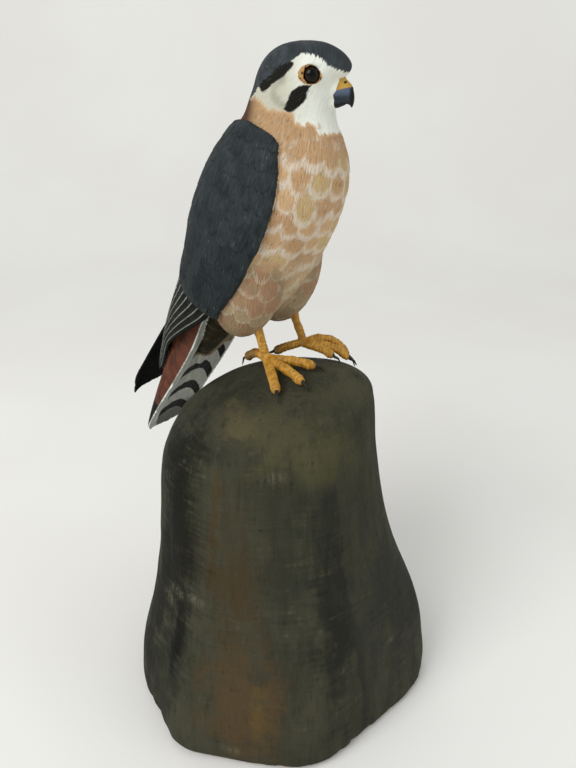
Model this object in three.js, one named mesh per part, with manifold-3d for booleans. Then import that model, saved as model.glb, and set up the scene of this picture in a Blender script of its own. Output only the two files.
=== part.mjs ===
// A kestrel carved in wood, perched on a carved and painted stump, with set-in eyes and separate legs.
// Millimetres, +Z up. The origin is the middle of the stump's underside, and the bird's breast faces -Y.
import * as THREE from "three";
import { mergeVertices } from "three/addons/utils/BufferGeometryUtils.js";
import Module from "manifold-3d";

const wasm = await Module();
wasm.setup();

const DEGREE = Math.PI / 180;
const TURN = 2 * Math.PI;
const UP = new THREE.Vector3(0, 0, 1);
const FIT_GAP = 0.3; // between pieces that touch
const SAME_POINT = 1e-3; // points closer than this are one

// Driving sizes
const STUMP_TOP = 209; // height of the flat of the stump under the feet
const STUMP_TURN = -52; // degrees from the bird's own left to the stump's broad side
const HEAD_TURN = 12; // degrees that the head looks to the bird's left
const NECK_Y = -2; // the head turns about an upright line through here
const EYE_RADIUS = 3.8;
const EYE = { ahead: 16.9, side: 11.4, height: 347.6 };
const LEG_SPREAD = 14.5; // from the middle of the bird to where each leg stands in the body
const LEG_TOP = { y: 8.5, z: 238 };
const FOOT = { right: { x: -14.2, y: 0.5 }, left: { x: 16.3, y: -0.8 }, lift: 8.5 };
const TAIL_HALF_WIDTH = 19;
const TAIL_ASIDE = 1; // the tail swings a little to the bird's left

const PAINT = {
  breast: { color: "#c79a72", roughness: 0.7 },
  stump: { color: "#37362c", roughness: 0.75 },
  leg: { color: "#d99a2b", roughness: 0.55 },
  eye: { color: "#2a1408", roughness: 0.08 },
};

const clamp = (value, low, high) => Math.min(Math.max(value, low), high);
const mix = (a, b, share) => a + (b - a) * share;
const smooth = (value) => value * value * (3 - 2 * value);
const ramp = (value, low, high) => smooth(clamp((value - low) / (high - low), 0, 1));

// A power of a sine or cosine that keeps its sign: 2 is round, and more is squarer.
const rounded = (wave, squareness) => Math.sign(wave) * Math.abs(wave) ** (2 / squareness);

// Smooth values between stations. Each station is [place, value, value, ...], with places rising.
function between(stations, place) {
  const last = stations.length - 1;
  let i = 0;
  while (i < last - 1 && place > stations[i + 1][0]) i += 1;
  const [here, next] = [stations[i], stations[i + 1]];
  const span = next[0] - here[0];
  const t = clamp((place - here[0]) / span, 0, 1);
  const slope = (k, column) => {
    const before = stations[Math.max(k - 1, 0)];
    const after = stations[Math.min(k + 1, last)];
    return (after[column] - before[column]) / (after[0] - before[0]);
  };
  return here.slice(1).map((value, k) => {
    const column = k + 1;
    const [m0, m1] = [slope(i, column) * span, slope(i + 1, column) * span];
    const [t2, t3] = [t * t, t * t * t];
    return (
      (2 * t3 - 3 * t2 + 1) * value +
      (t3 - 2 * t2 + t) * m0 +
      (3 * t2 - 2 * t3) * next[column] +
      (t3 - t2) * m1
    );
  });
}

// A closed skin: the grid of a sphere, each of its points moved to where `place(turn, along)` says.
// turn runs once round, from 0 to 1, and along from 0 at the lower end to 1 at the upper end.
function skin(around, steps, place) {
  const geometry = new THREE.SphereGeometry(1, around, steps);
  const { position, uv } = geometry.attributes;
  for (let i = 0; i < position.count; i += 1) {
    const along = clamp(uv.getY(i), 0, 1);
    const atEnd = along === 0 || along === 1;
    const point = place(atEnd ? 0 : uv.getX(i) % 1, along);
    position.setXYZ(i, point.x, point.y, point.z);
  }
  return geometry;
}

// A solid for joining and cutting, from any closed three.js geometry.
function solidOf(geometry) {
  const bare = new THREE.BufferGeometry();
  bare.setAttribute("position", geometry.attributes.position);
  bare.setIndex(geometry.index);
  const merged = mergeVertices(bare, SAME_POINT);
  return new wasm.Manifold(
    new wasm.Mesh({
      numProp: 3,
      vertProperties: merged.attributes.position.array,
      triVerts: new Uint32Array(merged.index.array),
    }),
  );
}

// A named mesh from a finished solid.
function pieceOf(name, solid, paint) {
  const { vertProperties, triVerts } = solid.getMesh();
  const geometry = new THREE.BufferGeometry();
  geometry.setAttribute("position", new THREE.BufferAttribute(vertProperties, 3));
  geometry.setIndex(new THREE.BufferAttribute(triVerts, 1));
  geometry.computeVertexNormals();
  const material = new THREE.MeshStandardMaterial({ ...PAINT[paint], metalness: 0 });
  const mesh = new THREE.Mesh(geometry, material);
  mesh.name = name;
  return mesh;
}

const joined = (solids) => solids.reduce((whole, solid) => whole.add(solid));

// Stump: [height, right, back, left, front], the reach each way from its middle line.
// Right and left are as seen with the stump's broad side ahead.
const STUMP_WALL = [
  [0, 87, 82, 91, 85],
  [14, 86.5, 83, 92, 86],
  [30, 84.5, 82, 88, 84],
  [50, 82, 79, 82.3, 80],
  [70, 75, 74, 78, 75],
  [92, 66, 68, 75, 70],
  [112, 59, 64, 72.5, 66],
  [135, 54.5, 60, 70.5, 62],
  [160, 50, 56, 68, 58],
  [182, 48, 52, 66, 54],
  [200, 46.5, 49, 64, 51],
];
const STUMP_FOOT = { height: 4, undercut: 2 }; // below this height the wall turns under
// The stump's skin: rings 0 and 1 are its flat underside, and the shoulder ring ends its wall.
const STUMP_SKIN = { around: 40, rings: 16, footRing: 2, shoulderRing: 9 };
const MIDDLE_MOVES_FROM = 60; // above this height the stump's middle line leaves its foot's
// Corners and flats of the side: direction in degrees, and the share of the plain reach there.
// They are full at the foot, and fade out towards the height where they end.
const STUMP_CORNERS = [
  [0, 1.02],
  [40, 0.95],
  [80, 1.02],
  [120, 0.95],
  [160, 1.01],
  [196, 1.022],
  [214, 1.01],
  [232, 1.085],
  [246, 1.02],
  [260, 1.01],
  [283, 1.022],
  [296, 0.95],
  [309, 0.92],
  [322, 0.937],
  [334, 0.985],
  [347, 1.038],
  [360, 1.02],
];
const CORNERS_END = { height: 170, left: 0.25 }; // and the share of their depth left there
// Where the wall rolls over into the top, on each side.
const STUMP_SHOULDER = { right: 188, back: 140, left: 146, front: 173 };
const STUMP_MIDDLE = { x: 13, y: -8 }; // the highest place of the top
// Squareness of the roll from the wall to the top, on each side.
const STUMP_ROLL = { right: 2.8, back: 2.1, left: 2.1, front: 2.4 };

// Blends four values given for right, back, left and front, for a direction in degrees.
function around4(values, degrees) {
  const quarter = (((degrees % 360) + 360) % 360) / 90;
  const k = Math.floor(quarter) % 4;
  return mix(values[k], values[(k + 1) % 4], smooth(quarter - Math.floor(quarter)));
}

function stumpReach(degrees, z) {
  const plain = around4(between(STUMP_WALL, clamp(z, 0, STUMP_TOP)), degrees);
  const [corner] = between(STUMP_CORNERS, ((degrees % 360) + 360) % 360);
  return plain * mix(1, corner, mix(1, CORNERS_END.left, ramp(z, 0, CORNERS_END.height)));
}

const bySide = ({ right, back, left, front }, degrees) =>
  around4([right, back, left, front], degrees);
const stumpShoulder = (degrees) => bySide(STUMP_SHOULDER, degrees);
const stumpRoll = (degrees) => bySide(STUMP_ROLL, degrees);

// How far a point lies out from the middle line in a direction.
function aside({ x, y }, degrees) {
  return x * Math.cos(degrees * DEGREE) + y * Math.sin(degrees * DEGREE);
}

// The reach from the top's middle, which lies to one side of the stump's own middle line.
function stumpTopReach(degrees) {
  return stumpReach(degrees, stumpShoulder(degrees)) - aside(STUMP_MIDDLE, degrees);
}

// Height of the stump's top over a point in its own frame.
function stumpTopAt(x, y) {
  const [dx, dy] = [x - STUMP_MIDDLE.x, y - STUMP_MIDDLE.y];
  const degrees = Math.atan2(dy, dx) / DEGREE;
  const out = Math.hypot(dx, dy) / stumpTopReach(degrees);
  const roll = stumpRoll(degrees);
  const fall = (1 - Math.min(out, 1) ** roll) ** (1 / roll);
  return mix(stumpShoulder(degrees), STUMP_TOP, fall);
}

function stump() {
  const { around, rings, footRing, shoulderRing } = STUMP_SKIN;
  const place = (turn, along) => {
    const degrees = turn * 360;
    const shoulder = stumpShoulder(degrees);
    const ring = Math.round(along * rings);
    const middle = { x: 0, y: 0 };
    let reach = 0;
    let z = 0;
    if (ring > 0 && ring < footRing) {
      reach = stumpReach(degrees, 0) - STUMP_FOOT.undercut;
    } else if (ring >= footRing && ring < shoulderRing) {
      z = mix(STUMP_FOOT.height, shoulder, (ring - footRing) / (shoulderRing - footRing));
      middle.x = STUMP_MIDDLE.x * ramp(z, MIDDLE_MOVES_FROM, shoulder);
      middle.y = STUMP_MIDDLE.y * ramp(z, MIDDLE_MOVES_FROM, shoulder);
      reach = stumpReach(degrees, z) - aside(middle, degrees);
    } else if (ring >= shoulderRing) {
      const swing = ((ring - shoulderRing) / (rings - shoulderRing)) * (TURN / 4);
      const roll = stumpRoll(degrees);
      z = ring < rings ? mix(shoulder, STUMP_TOP, rounded(Math.sin(swing), roll)) : STUMP_TOP;
      reach = ring < rings ? stumpTopReach(degrees) * rounded(Math.cos(swing), roll) : 0;
      Object.assign(middle, STUMP_MIDDLE);
    }
    return new THREE.Vector3(
      middle.x + reach * Math.cos(degrees * DEGREE),
      middle.y + reach * Math.sin(degrees * DEGREE),
      z,
    );
  };
  return solidOf(skin(around, rings, place)).rotate([0, 0, STUMP_TURN]);
}

// Height of the stump's top over a point in the part's own frame.
function perchAt(x, y) {
  const turn = STUMP_TURN * DEGREE;
  const across = x * Math.cos(turn) + y * Math.sin(turn);
  const deep = -x * Math.sin(turn) + y * Math.cos(turn);
  return stumpTopAt(across, deep);
}

// Bird: every form is a skin of sections across a line that leans back from the upright.
// A section's own axes are the bird's left and the way to its back.
function sectionPoint({ y, z, lean }, left, back) {
  return new THREE.Vector3(
    left,
    y + back * Math.cos(lean * DEGREE),
    z + back * Math.sin(lean * DEGREE),
  );
}

// Turns a point about the upright line that the head turns about.
function turnedAtNeck(point, degrees) {
  point.y -= NECK_Y;
  point.applyAxisAngle(UP, degrees * DEGREE);
  point.y += NECK_Y;
  return point;
}

// Body and head, from the vent to the crown:
// [place, y, z, lean, half width, reach to the back, reach to the front, squareness]
const BODY = [
  [0, 39, 226, 38, 0, 0, 0, 2],
  [0.05, 35.5, 229, 36, 12, 12, 9, 2],
  [0.12, 31, 234.5, 31, 20, 22, 14.5, 2],
  [0.2, 26, 243, 26, 27, 28, 20, 2.1],
  [0.29, 20, 256, 22, 31, 32.5, 24.6, 2.15],
  [0.38, 14.5, 271, 19, 32.5, 33.5, 28.8, 2.15],
  [0.48, 9.5, 287, 17, 32.5, 32, 33.2, 2.15],
  [0.57, 5, 303, 14.5, 31, 28, 35.4, 2.15],
  [0.64, 2, 314, 12, 27.5, 25, 34.7, 2.1],
  [0.7, -0.5, 323, 9, 22.8, 22.4, 30.3, 2.05],
  [0.75, -2.5, 330, 5, 19, 20.3, 23.3, 2.05],
  [0.8, -4.5, 337, 1, 17.4, 19.7, 20, 2.1],
  [0.85, -7, 343.5, -2, 16.4, 19.9, 20.4, 2.15],
  [0.9, -9, 349.5, -3, 15.6, 20, 22.8, 2.15],
  [0.94, -10, 354.5, -3, 13.6, 18.2, 19, 2.1],
  [0.97, -10, 358.3, -3, 10.2, 14, 13.4, 2],
  [0.99, -9, 360.5, -3, 5.6, 7.2, 7.8, 2],
  [1, -8.5, 361.2, -3, 0, 0, 0, 2],
];

const NECK = { low: 318, high: 340 }; // over these heights the body's turn grows to the head's

// Carved touches on the head, in its own frame: ahead of the neck line, to each side, and height.
const HEAD_TOUCHES = [
  { name: "brow", ahead: 19, side: 13, height: 353.4, wide: 6, lift: 0.9 },
  { name: "lore", ahead: 24.5, side: 8.5, height: 344, wide: 5, lift: -1.4 },
  { name: "cheek", ahead: 9, side: 16, height: 338, wide: 8, lift: 0.8 },
];

function bodyPoint(turn, along) {
  const [y, z, lean, half, back, front, square] = between(BODY, along);
  const angle = turn * TURN;
  const left = half * rounded(Math.cos(angle), square);
  const wave = rounded(Math.sin(angle), square);
  const point = sectionPoint({ y, z, lean }, left, wave * (wave > 0 ? back : front));
  const middle = new THREE.Vector3(0, y, z);
  HEAD_TOUCHES.forEach(({ ahead, side, height, wide, lift }) => {
    const spot = new THREE.Vector3(Math.sign(point.x) * side, NECK_Y - ahead, height);
    const near = Math.exp(-((point.distanceTo(spot) / wide) ** 2));
    point.addScaledVector(point.clone().sub(middle).normalize(), lift * near);
  });
  return turnedAtNeck(point, HEAD_TURN * ramp(point.z, NECK.low, NECK.high));
}

// A point on the head: ahead of the neck line, to the bird's left, and height.
function onHead(ahead, left, height) {
  return turnedAtNeck(new THREE.Vector3(left, NECK_Y - ahead, height), HEAD_TURN);
}

// Bill, from the tip back into the face: [place, ahead, height, tilt, half width, half depth]
const UPPER_BILL = [
  [0, 31.2, 333.6, -100, 0.3, 0.3],
  [0.12, 31.3, 335.6, -88, 1.3, 1.3],
  [0.3, 29.6, 338.4, -62, 2.8, 3.3],
  [0.5, 27.3, 340.6, -38, 4, 4.7],
  [0.75, 23.6, 342, -12, 5, 5.6],
  [1, 17, 342, 0, 5.2, 5.6],
];
const LOWER_BILL = [
  [0, 28, 335.6, -62, 0.3, 0.3],
  [0.3, 26.2, 336, -40, 2.6, 1.9],
  [0.7, 22, 336.6, -18, 3.6, 2.6],
  [1, 16, 337.4, -10, 3.6, 2.8],
];

function billSkin(stations, around, steps) {
  const place = (turn, along) => {
    const closing = along > 0 && along < 1 ? 1 : 0;
    const [ahead, height, tilt, half, depth] = between(stations, along);
    const angle = -turn * TURN;
    const across = closing * half * Math.cos(angle);
    const up = closing * depth * Math.sin(angle);
    return onHead(
      ahead - up * Math.sin(tilt * DEGREE),
      across,
      height + up * Math.cos(tilt * DEGREE),
    );
  };
  return solidOf(skin(around, steps, place));
}

// Thighs: the feathered "trousers" that the legs come out of.
const THIGH = { x: 15, y: 11.3, z: 256, lean: 18, side: 16, deep: 20, tall: 33 };

function thigh(side) {
  const lobe = new THREE.SphereGeometry(1, 14, 10);
  lobe.rotateX(90 * DEGREE);
  lobe.scale(THIGH.side, THIGH.deep, THIGH.tall);
  lobe.rotateX(THIGH.lean * DEGREE);
  lobe.translate(side * THIGH.x, THIGH.y, THIGH.z);
  return solidOf(lobe);
}

// A wing is two plates that lie on an oval round the bird: the shield of coverts, and under it the
// long primaries, which cross over the tail. Both run from their lower end to their upper end:
// [place, y, z, lean, half width, reach to the back, to the front, front edge, rear edge, thickness].
// The edges are in degrees from the breast, by way of the bird's side, to the back.
const SHIELD = [
  [0, 28.5, 239.5, 26, 29.5, 32.5, 31, 105, 112, 1],
  [0.03, 28, 240.5, 26, 31.5, 35, 33, 76, 150, 3.4],
  [0.1, 26, 245, 25, 32.4, 35, 34.5, 73, 166, 4.4],
  [0.24, 19.5, 259, 22.5, 34.2, 34.5, 36.5, 66, 167, 5],
  [0.43, 13.5, 277, 19.5, 35, 34.5, 37.8, 58, 164, 5],
  [0.62, 8, 295, 17, 34.5, 31, 38, 54, 161, 5],
  [0.79, 4, 309, 14, 31.8, 27, 36, 54.5, 160, 5],
  [0.9, 1, 318.5, 11, 28, 23.5, 32, 58.5, 158, 5],
  [0.97, -1, 325.5, 9, 24, 21, 27, 67, 150, 4],
  [1, -1.5, 329, 8, 21.5, 19, 24, 100, 112, 1],
];
const PRIMARIES = [
  [0, 86, 157, 30, 7, 22, 22, 176, 180, 1],
  [0.1, 78, 169, 30, 15, 24.5, 23, 142, 188, 1.8],
  [0.2, 70, 180, 29, 20.3, 26.5, 24, 123, 184, 2.2],
  [0.3, 63, 189, 29, 22.5, 29, 25.5, 121, 180, 2.4],
  [0.4, 55.5, 200, 28.5, 25, 31, 27.5, 117, 178, 2.6],
  [0.5, 47.5, 212, 28, 27, 32.2, 29, 106, 178, 2.8],
  [0.6, 40, 223, 27, 28.8, 33, 30, 95, 178, 3],
  [0.76, 29, 241, 25, 31, 33.6, 31, 78, 175, 3.2],
  [0.9, 21, 256, 23, 32.5, 34.3, 33, 76, 168, 3],
  [1, 17, 266, 22, 32, 32, 32, 120, 128, 1],
];
// How far each wing tip lies over the midline, how much further it reaches, and how much higher
// it rides, so that the left tip crosses over the right one.
const WING_TIPS = {
  right: { side: -1, over: 3, longer: -3, higher: 0 },
  left: { side: 1, over: 14, longer: 9.5, higher: 3 },
};
const TIPS_APART = { from: 250, to: 165 }; // the heights over which the two wings part

const WING_EDGE = 3.2; // squareness of a plate's edges
const WING_FACE = 2.6; // and of its faces

function wingPlate(stations, around, steps, { side, over, longer, higher }) {
  const place = (turn, along) => {
    const [y, z, lean, half, back, front, fore, rear, thick] = between(stations, along);
    const atTip = ramp(-z, -TIPS_APART.from, -TIPS_APART.to);
    const angle = (side < 0 ? turn : 1 - turn) * TURN;
    const open = along <= 0 || along >= 1 ? 0 : 1;
    const across = open * rounded(Math.cos(angle), WING_EDGE);
    const out = open * rounded(Math.sin(angle), WING_FACE) * (thick / 2);
    const swing = mix(fore, rear, (across + 1) / 2) * DEGREE;
    const reach = (Math.cos(swing) > 0 ? front : back) + higher * atTip + out;
    const sideways = (half + out) * Math.sin(swing) - over * atTip ** 1.5;
    const down = longer * atTip;
    return sectionPoint(
      { y: y + down * Math.sin(lean * DEGREE), z: z - down * Math.cos(lean * DEGREE), lean },
      side * sideways,
      -reach * Math.cos(swing),
    );
  };
  return solidOf(skin(around, steps, place));
}

function wing(shape) {
  return wingPlate(SHIELD, 18, 13, shape).add(wingPlate(PRIMARIES, 14, 10, shape));
}

// Tail, from its tip up into the rump: [place, y, z, lean, half width, height of its back]
const TAIL = [
  [0, 98.8, 138.6, 35, TAIL_HALF_WIDTH * 0.8, 4.5],
  [0.06, 95.6, 143.9, 35, TAIL_HALF_WIDTH * 0.97, 6.5],
  [0.25, 82, 163.5, 35, TAIL_HALF_WIDTH, 13],
  [0.5, 65, 186.5, 34, TAIL_HALF_WIDTH, 20],
  [0.72, 52, 205.5, 31, TAIL_HALF_WIDTH, 25.5],
  [0.88, 44, 220, 29, TAIL_HALF_WIDTH, 29],
  [1, 37, 236, 28, TAIL_HALF_WIDTH * 0.9, 29],
];
const TAIL_HOLLOW = 3; // how far the underside bows in
const TAIL_EDGE = 3; // squareness of the tail's sides
const TAIL_FACE = 2.4; // and of its two faces
const TAIL_END_RISE = 0.3; // height of the end's middle, as a share of the tail's

function tail() {
  const place = (turn, along) => {
    const [y, z, lean, half, height] = between(TAIL, along);
    const angle = turn * TURN;
    const isEnd = along <= 0 || along >= 1;
    const left = isEnd ? 0 : half * rounded(Math.cos(angle), TAIL_EDGE);
    const wave = isEnd ? TAIL_END_RISE : rounded(Math.sin(angle), TAIL_FACE);
    return sectionPoint(
      { y, z, lean },
      TAIL_ASIDE + left,
      wave * (wave > 0 ? height : -Math.min(TAIL_HOLLOW, height / 3)),
    );
  };
  return solidOf(skin(16, 10, place));
}

// Coverts under the tail, a wedge that runs out along its underside, from its lower end:
// [place, y, z, lean, half width, half depth]
const COVERTS = [
  [0, 67, 189, 34, 1, 1],
  [0.15, 60, 198.5, 33, 5, 3],
  [0.45, 49.5, 213, 33, 10, 6.5],
  [0.75, 39, 227, 34, 13, 9],
  [1, 28, 240, 34, 12, 9],
];

function underTailCoverts() {
  const place = (turn, along) => {
    const [y, z, lean, half, depth] = between(COVERTS, along);
    const angle = turn * TURN;
    const open = along <= 0 || along >= 1 ? 0 : 1;
    const back = open * depth * Math.sin(angle);
    return sectionPoint({ y, z, lean }, open * half * Math.cos(angle), back);
  };
  return solidOf(skin(10, 6, place));
}

function eyePlace(side) {
  return onHead(EYE.ahead, side * EYE.side, EYE.height);
}

// A ball with about 0.6 as many rings as it has faces round it.
function ball(radius, around, centre) {
  const geometry = new THREE.SphereGeometry(radius, around, Math.round(around * 0.6));
  geometry.translate(centre.x, centre.y, centre.z);
  return solidOf(geometry);
}

// Legs: the shank, the toes and the claws are bent tubes with rounded ends.
const LONGEST_ROUNDING = 0.2; // of a tube's length, at each end
const UPRIGHT = 0.2; // a tube whose sine from the upright is less takes X for its side

function bentTube(points, radii, around, steps) {
  const line = new THREE.CatmullRomCurve3(points, false, "catmullrom", 0.5);
  const stations = radii.map((radius, k) => [k / (radii.length - 1), radius]);
  const rounding = Math.min(radii[0] / line.getLength(), LONGEST_ROUNDING);
  const place = (turn, along) => {
    const share = (1 + Math.cos(along * Math.PI)) / 2;
    const centre = line.getPoint(share);
    const ahead = line.getTangent(share).negate();
    const across = UP.clone().cross(ahead);
    if (across.length() < UPRIGHT) across.set(1, 0, 0).cross(ahead);
    across.normalize();
    const up = new THREE.Vector3().crossVectors(ahead, across);
    const [radius] = between(stations, share);
    const fromEnd = clamp(Math.min(share, 1 - share) / rounding, 0, 1);
    const size = radius * Math.sqrt(1 - (1 - fromEnd) ** 2);
    const angle = turn * TURN;
    return centre
      .addScaledVector(across, size * Math.cos(angle))
      .addScaledVector(up, size * Math.sin(angle));
  };
  return solidOf(skin(around, steps, place));
}

const SHANK_RADII = [3.3, 3.1, 2.3, 2.1, 2.3, 2.6];
const FOOT_BALL_RADIUS = 3;
const LEG_HOLE_GAP = 0.5;
const TOE_RADII = [2.8, 2.3, 2.6, 2.2, 2.6, 2.3];
const CLAW_RADII = [1.1, 0.9, 0.6, 0.35];
const CLAW = { length: 4.4, bend: 2.64, buried: 0.6, rise: 0.3, clear: 0.2 };
const TOE_JOINTS = [{ share: 0.36, rise: 2.6 }, { share: 0.72, rise: 1.2 }];
// Where each toe ends, how high its tip rides over the stump, and how far it arches on the way.
const TOES = {
  right: [
    { x: -30.6, y: -19.5, tip: 0, arch: 0.5 },
    { x: -18, y: -26, tip: 0, arch: 1 },
    { x: -1.1, y: -21.6, tip: 0, arch: 1 },
    { x: -10.4, y: 17.5, tip: 3, arch: 1.5 },
  ],
  left: [
    { x: 17.5, y: -20, tip: 0, arch: 1.5 },
    { x: 27.5, y: -23.5, tip: 0, arch: 2.5 },
    { x: 36.5, y: -17, tip: 2, arch: 4 },
    { x: 4, y: 10.5, tip: 1.5, arch: 0.5 },
  ],
};

// A toe from the ball of the foot to its tip, with its claw.
function toe(start, { x, y, tip, arch }) {
  const reach = Math.hypot(x - start.x, y - start.y);
  const over = (share, height) => {
    const point = start.clone().lerp(new THREE.Vector3(x, y, 0), share);
    point.z = perchAt(point.x, point.y) + height;
    return point;
  };
  const rest = TOE_RADII.at(-1) + 2 * FIT_GAP + tip;
  const joints = TOE_JOINTS.map(({ share, rise }) => over(share, rest + rise + arch));
  const digit = bentTube([start, ...joints, over(1, rest)], TOE_RADII, 8, 8);
  const ahead = (length) => 1 + length / reach;
  const clawBends = [
    over(ahead(-CLAW.buried), rest + CLAW.rise),
    over(ahead(CLAW.bend), rest),
    over(ahead(CLAW.length), FIT_GAP + CLAW.clear),
  ];
  return digit.add(bentTube(clawBends, CLAW_RADII, 6, 4));
}

function legLine(name, side) {
  const { x, y } = FOOT[name];
  const footBall = new THREE.Vector3(x, y, perchAt(x, y) + FOOT.lift);
  return [new THREE.Vector3(side * LEG_SPREAD, LEG_TOP.y, LEG_TOP.z), footBall];
}

function leg(name, side) {
  const [top, footBall] = legLine(name, side);
  const shank = bentTube([top, footBall], SHANK_RADII, 8, 6);
  const toes = TOES[name].map((shape) => toe(footBall, shape));
  return joined([shank, ball(FOOT_BALL_RADIUS, 8, footBall), ...toes]);
}

// The hole that the leg stands in: the same shape, wider and deeper by the fit gap.
function legHole(name, side) {
  const [top, footBall] = legLine(name, side);
  const deeper = top.clone().sub(footBall).normalize().multiplyScalar(LEG_HOLE_GAP);
  const radii = SHANK_RADII.map((radius) => radius + LEG_HOLE_GAP);
  return bentTube([top.clone().add(deeper), footBall], radii, 8, 6);
}

function bird() {
  const forms = [
    solidOf(skin(26, 36, bodyPoint)),
    billSkin(UPPER_BILL, 12, 9),
    billSkin(LOWER_BILL, 10, 5),
    thigh(-1),
    thigh(1),
    wing(WING_TIPS.right),
    wing(WING_TIPS.left),
    tail(),
    underTailCoverts(),
  ];
  const sockets = [-1, 1].map((side) => ball(EYE_RADIUS + FIT_GAP, 14, eyePlace(side)));
  return [...sockets, legHole("right", -1), legHole("left", 1)].reduce(
    (whole, hollow) => whole.subtract(hollow),
    joined(forms),
  );
}

const carving = new THREE.Group();
carving.add(
  pieceOf("stump_base", stump(), "stump"),
  pieceOf("kestrel", bird(), "breast"),
  pieceOf("leg_right", leg("right", -1), "leg"),
  pieceOf("leg_left", leg("left", 1), "leg"),
  pieceOf("eye_right", ball(EYE_RADIUS, 14, eyePlace(-1)), "eye"),
  pieceOf("eye_left", ball(EYE_RADIUS, 14, eyePlace(1)), "eye"),
);

export default carving;
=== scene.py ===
# %% [markdown]
# A carved and painted kestrel on a stump.
# The solids of the carving are loaded first, as a fixed frame in metres with +Z up. The bird's
# breast faces -Y and its left side is +X. Each piece below is modelled in that same frame, so
# it lands where its solid is. Sizes are written in millimetres and scaled once, by MM.

import itertools
import math

import bpy
import numpy as np
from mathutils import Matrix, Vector
from mathutils.bvhtree import BVHTree


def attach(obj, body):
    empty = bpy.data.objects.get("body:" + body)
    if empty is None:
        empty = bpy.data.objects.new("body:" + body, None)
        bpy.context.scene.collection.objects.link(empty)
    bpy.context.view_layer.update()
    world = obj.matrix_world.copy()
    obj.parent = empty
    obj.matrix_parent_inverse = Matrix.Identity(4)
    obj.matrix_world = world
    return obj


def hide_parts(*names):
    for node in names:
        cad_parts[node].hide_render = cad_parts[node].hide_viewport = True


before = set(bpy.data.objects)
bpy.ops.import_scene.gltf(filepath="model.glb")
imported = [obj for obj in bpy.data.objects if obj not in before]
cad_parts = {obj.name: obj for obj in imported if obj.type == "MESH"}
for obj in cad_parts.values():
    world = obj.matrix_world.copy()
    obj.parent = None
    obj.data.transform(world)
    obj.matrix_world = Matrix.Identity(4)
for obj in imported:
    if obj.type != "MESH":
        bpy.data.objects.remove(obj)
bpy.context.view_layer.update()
MM = 0.001
TURN = 2 * math.pi
print("nodes:", sorted(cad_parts))

# %% [markdown]
# The camera stands before the bird's right side, level with its eye, and looks down. It is made
# first, because every later choice is judged through it. Its lens comes from how tall the
# picture is in pixels and how many pixels one unit of slope covers.

# %% Camera
CAMERA_PLACE = (-256.45, -202.9, 348.0)  # mm
CAMERA_DOWN = 25  # degrees below level
CAMERA_HEADING = 52  # degrees from +Y towards +X
PICTURE_HEIGHT = 768
PIXELS_PER_SLOPE = 665
SENSOR = 36  # mm, upright

bpy.ops.object.camera_add(
    location=[value * MM for value in CAMERA_PLACE],
    rotation=(math.radians(90 - CAMERA_DOWN), 0, math.radians(-CAMERA_HEADING)),
)
camera = bpy.context.object
camera.data.sensor_fit = "VERTICAL"
camera.data.sensor_height = SENSOR
camera.data.lens = SENSOR * PIXELS_PER_SLOPE / PICTURE_HEIGHT
bpy.context.scene.camera = camera
print("lens", round(camera.data.lens, 2))

# %% [markdown]
# A few number helpers serve every form. `ramp` goes smoothly from 0 to 1, `hump` swells to 1
# and dies away, `rounded` squares up a sine or cosine, and `between` runs a smooth curve through
# stations, as a carver draws a fair line through marks. All of them work on whole arrays, so a
# hundred thousand points are quick.

# %% Number helpers
def ramp(value, low, high):
    share = np.clip((value - low) / (high - low), 0, 1)
    return share * share * (3 - 2 * share)


def mix(a, b, share):
    return a + (b - a) * share


def hump(distance, wide):
    """1 where the distance is nothing, and dying away over the width."""
    return np.exp(-((distance / wide) ** 2))


def rounded(wave, squareness):
    """A sine or cosine with its sign kept: 2 is round and more is squarer."""
    return np.sign(wave) * np.abs(wave) ** (2 / squareness)


def between(stations, place):
    """Smooth values between stations, each a row of place, value, value, ..."""
    table = np.array(stations, float)
    places, values = table[:, 0], table[:, 1:]
    here = np.searchsorted(places[1:-1], place, side="left")
    ends = np.arange(len(places))
    before, after = np.maximum(ends - 1, 0), np.minimum(ends + 1, len(places) - 1)
    slope = (values[after] - values[before]) / (places[after] - places[before])[:, None]
    span = (places[here + 1] - places[here])[:, None]
    t = np.clip((place - places[here])[:, None] / span, 0, 1)
    low = (2 * t**3 - 3 * t**2 + 1) * values[here] + (t**3 - 2 * t**2 + t) * slope[here] * span
    high = (3 * t**2 - 2 * t**3) * values[here + 1] + (t**3 - t**2) * slope[here + 1] * span
    return (low + high).T


def stack(*columns):
    return np.stack(np.broadcast_arrays(*columns), axis=-1).astype(float)


# %% [markdown]
# Wood and brushwork are never even. `dice` gives a steady random number for a whole-number
# place, and `lumps` blends those into soft hills of one size. Both give the same answer on
# every run, so the carving never changes between renders.

# %% Steady randomness
DICE_FACTORS = (73856093, 19349663, 83492791, 49979687)


def dice(*whole):
    """A steady random value from 0 to 1 for each row of whole numbers."""
    key = np.zeros(np.broadcast(*whole).shape, np.uint64)
    for number, factor in zip(whole, DICE_FACTORS):
        number = np.asarray(number).astype(np.int64) + (1 << 20)
        key ^= number.astype(np.uint64) * np.uint64(factor)
    key = (key ^ (key >> np.uint64(13))) * np.uint64(1274126177) & np.uint64(0xFFFFFFFF)
    return ((key ^ (key >> np.uint64(16))) & np.uint64(0xFFFFFF)) / float(0xFFFFFF)


def lumps(points, size, seed=0):
    """Soft hills between -1 and 1. Size is one number, or one for each direction."""
    grid = points / np.asarray(size, float)
    corner = np.floor(grid)
    t = grid - corner
    t = t * t * (3 - 2 * t)
    total = 0
    for step in itertools.product((0, 1), repeat=3):
        share = np.prod(np.where(step, t, 1 - t), axis=1)
        total = total + share * dice(*(corner + step).T, seed)
    return total * 2 - 1


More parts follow.
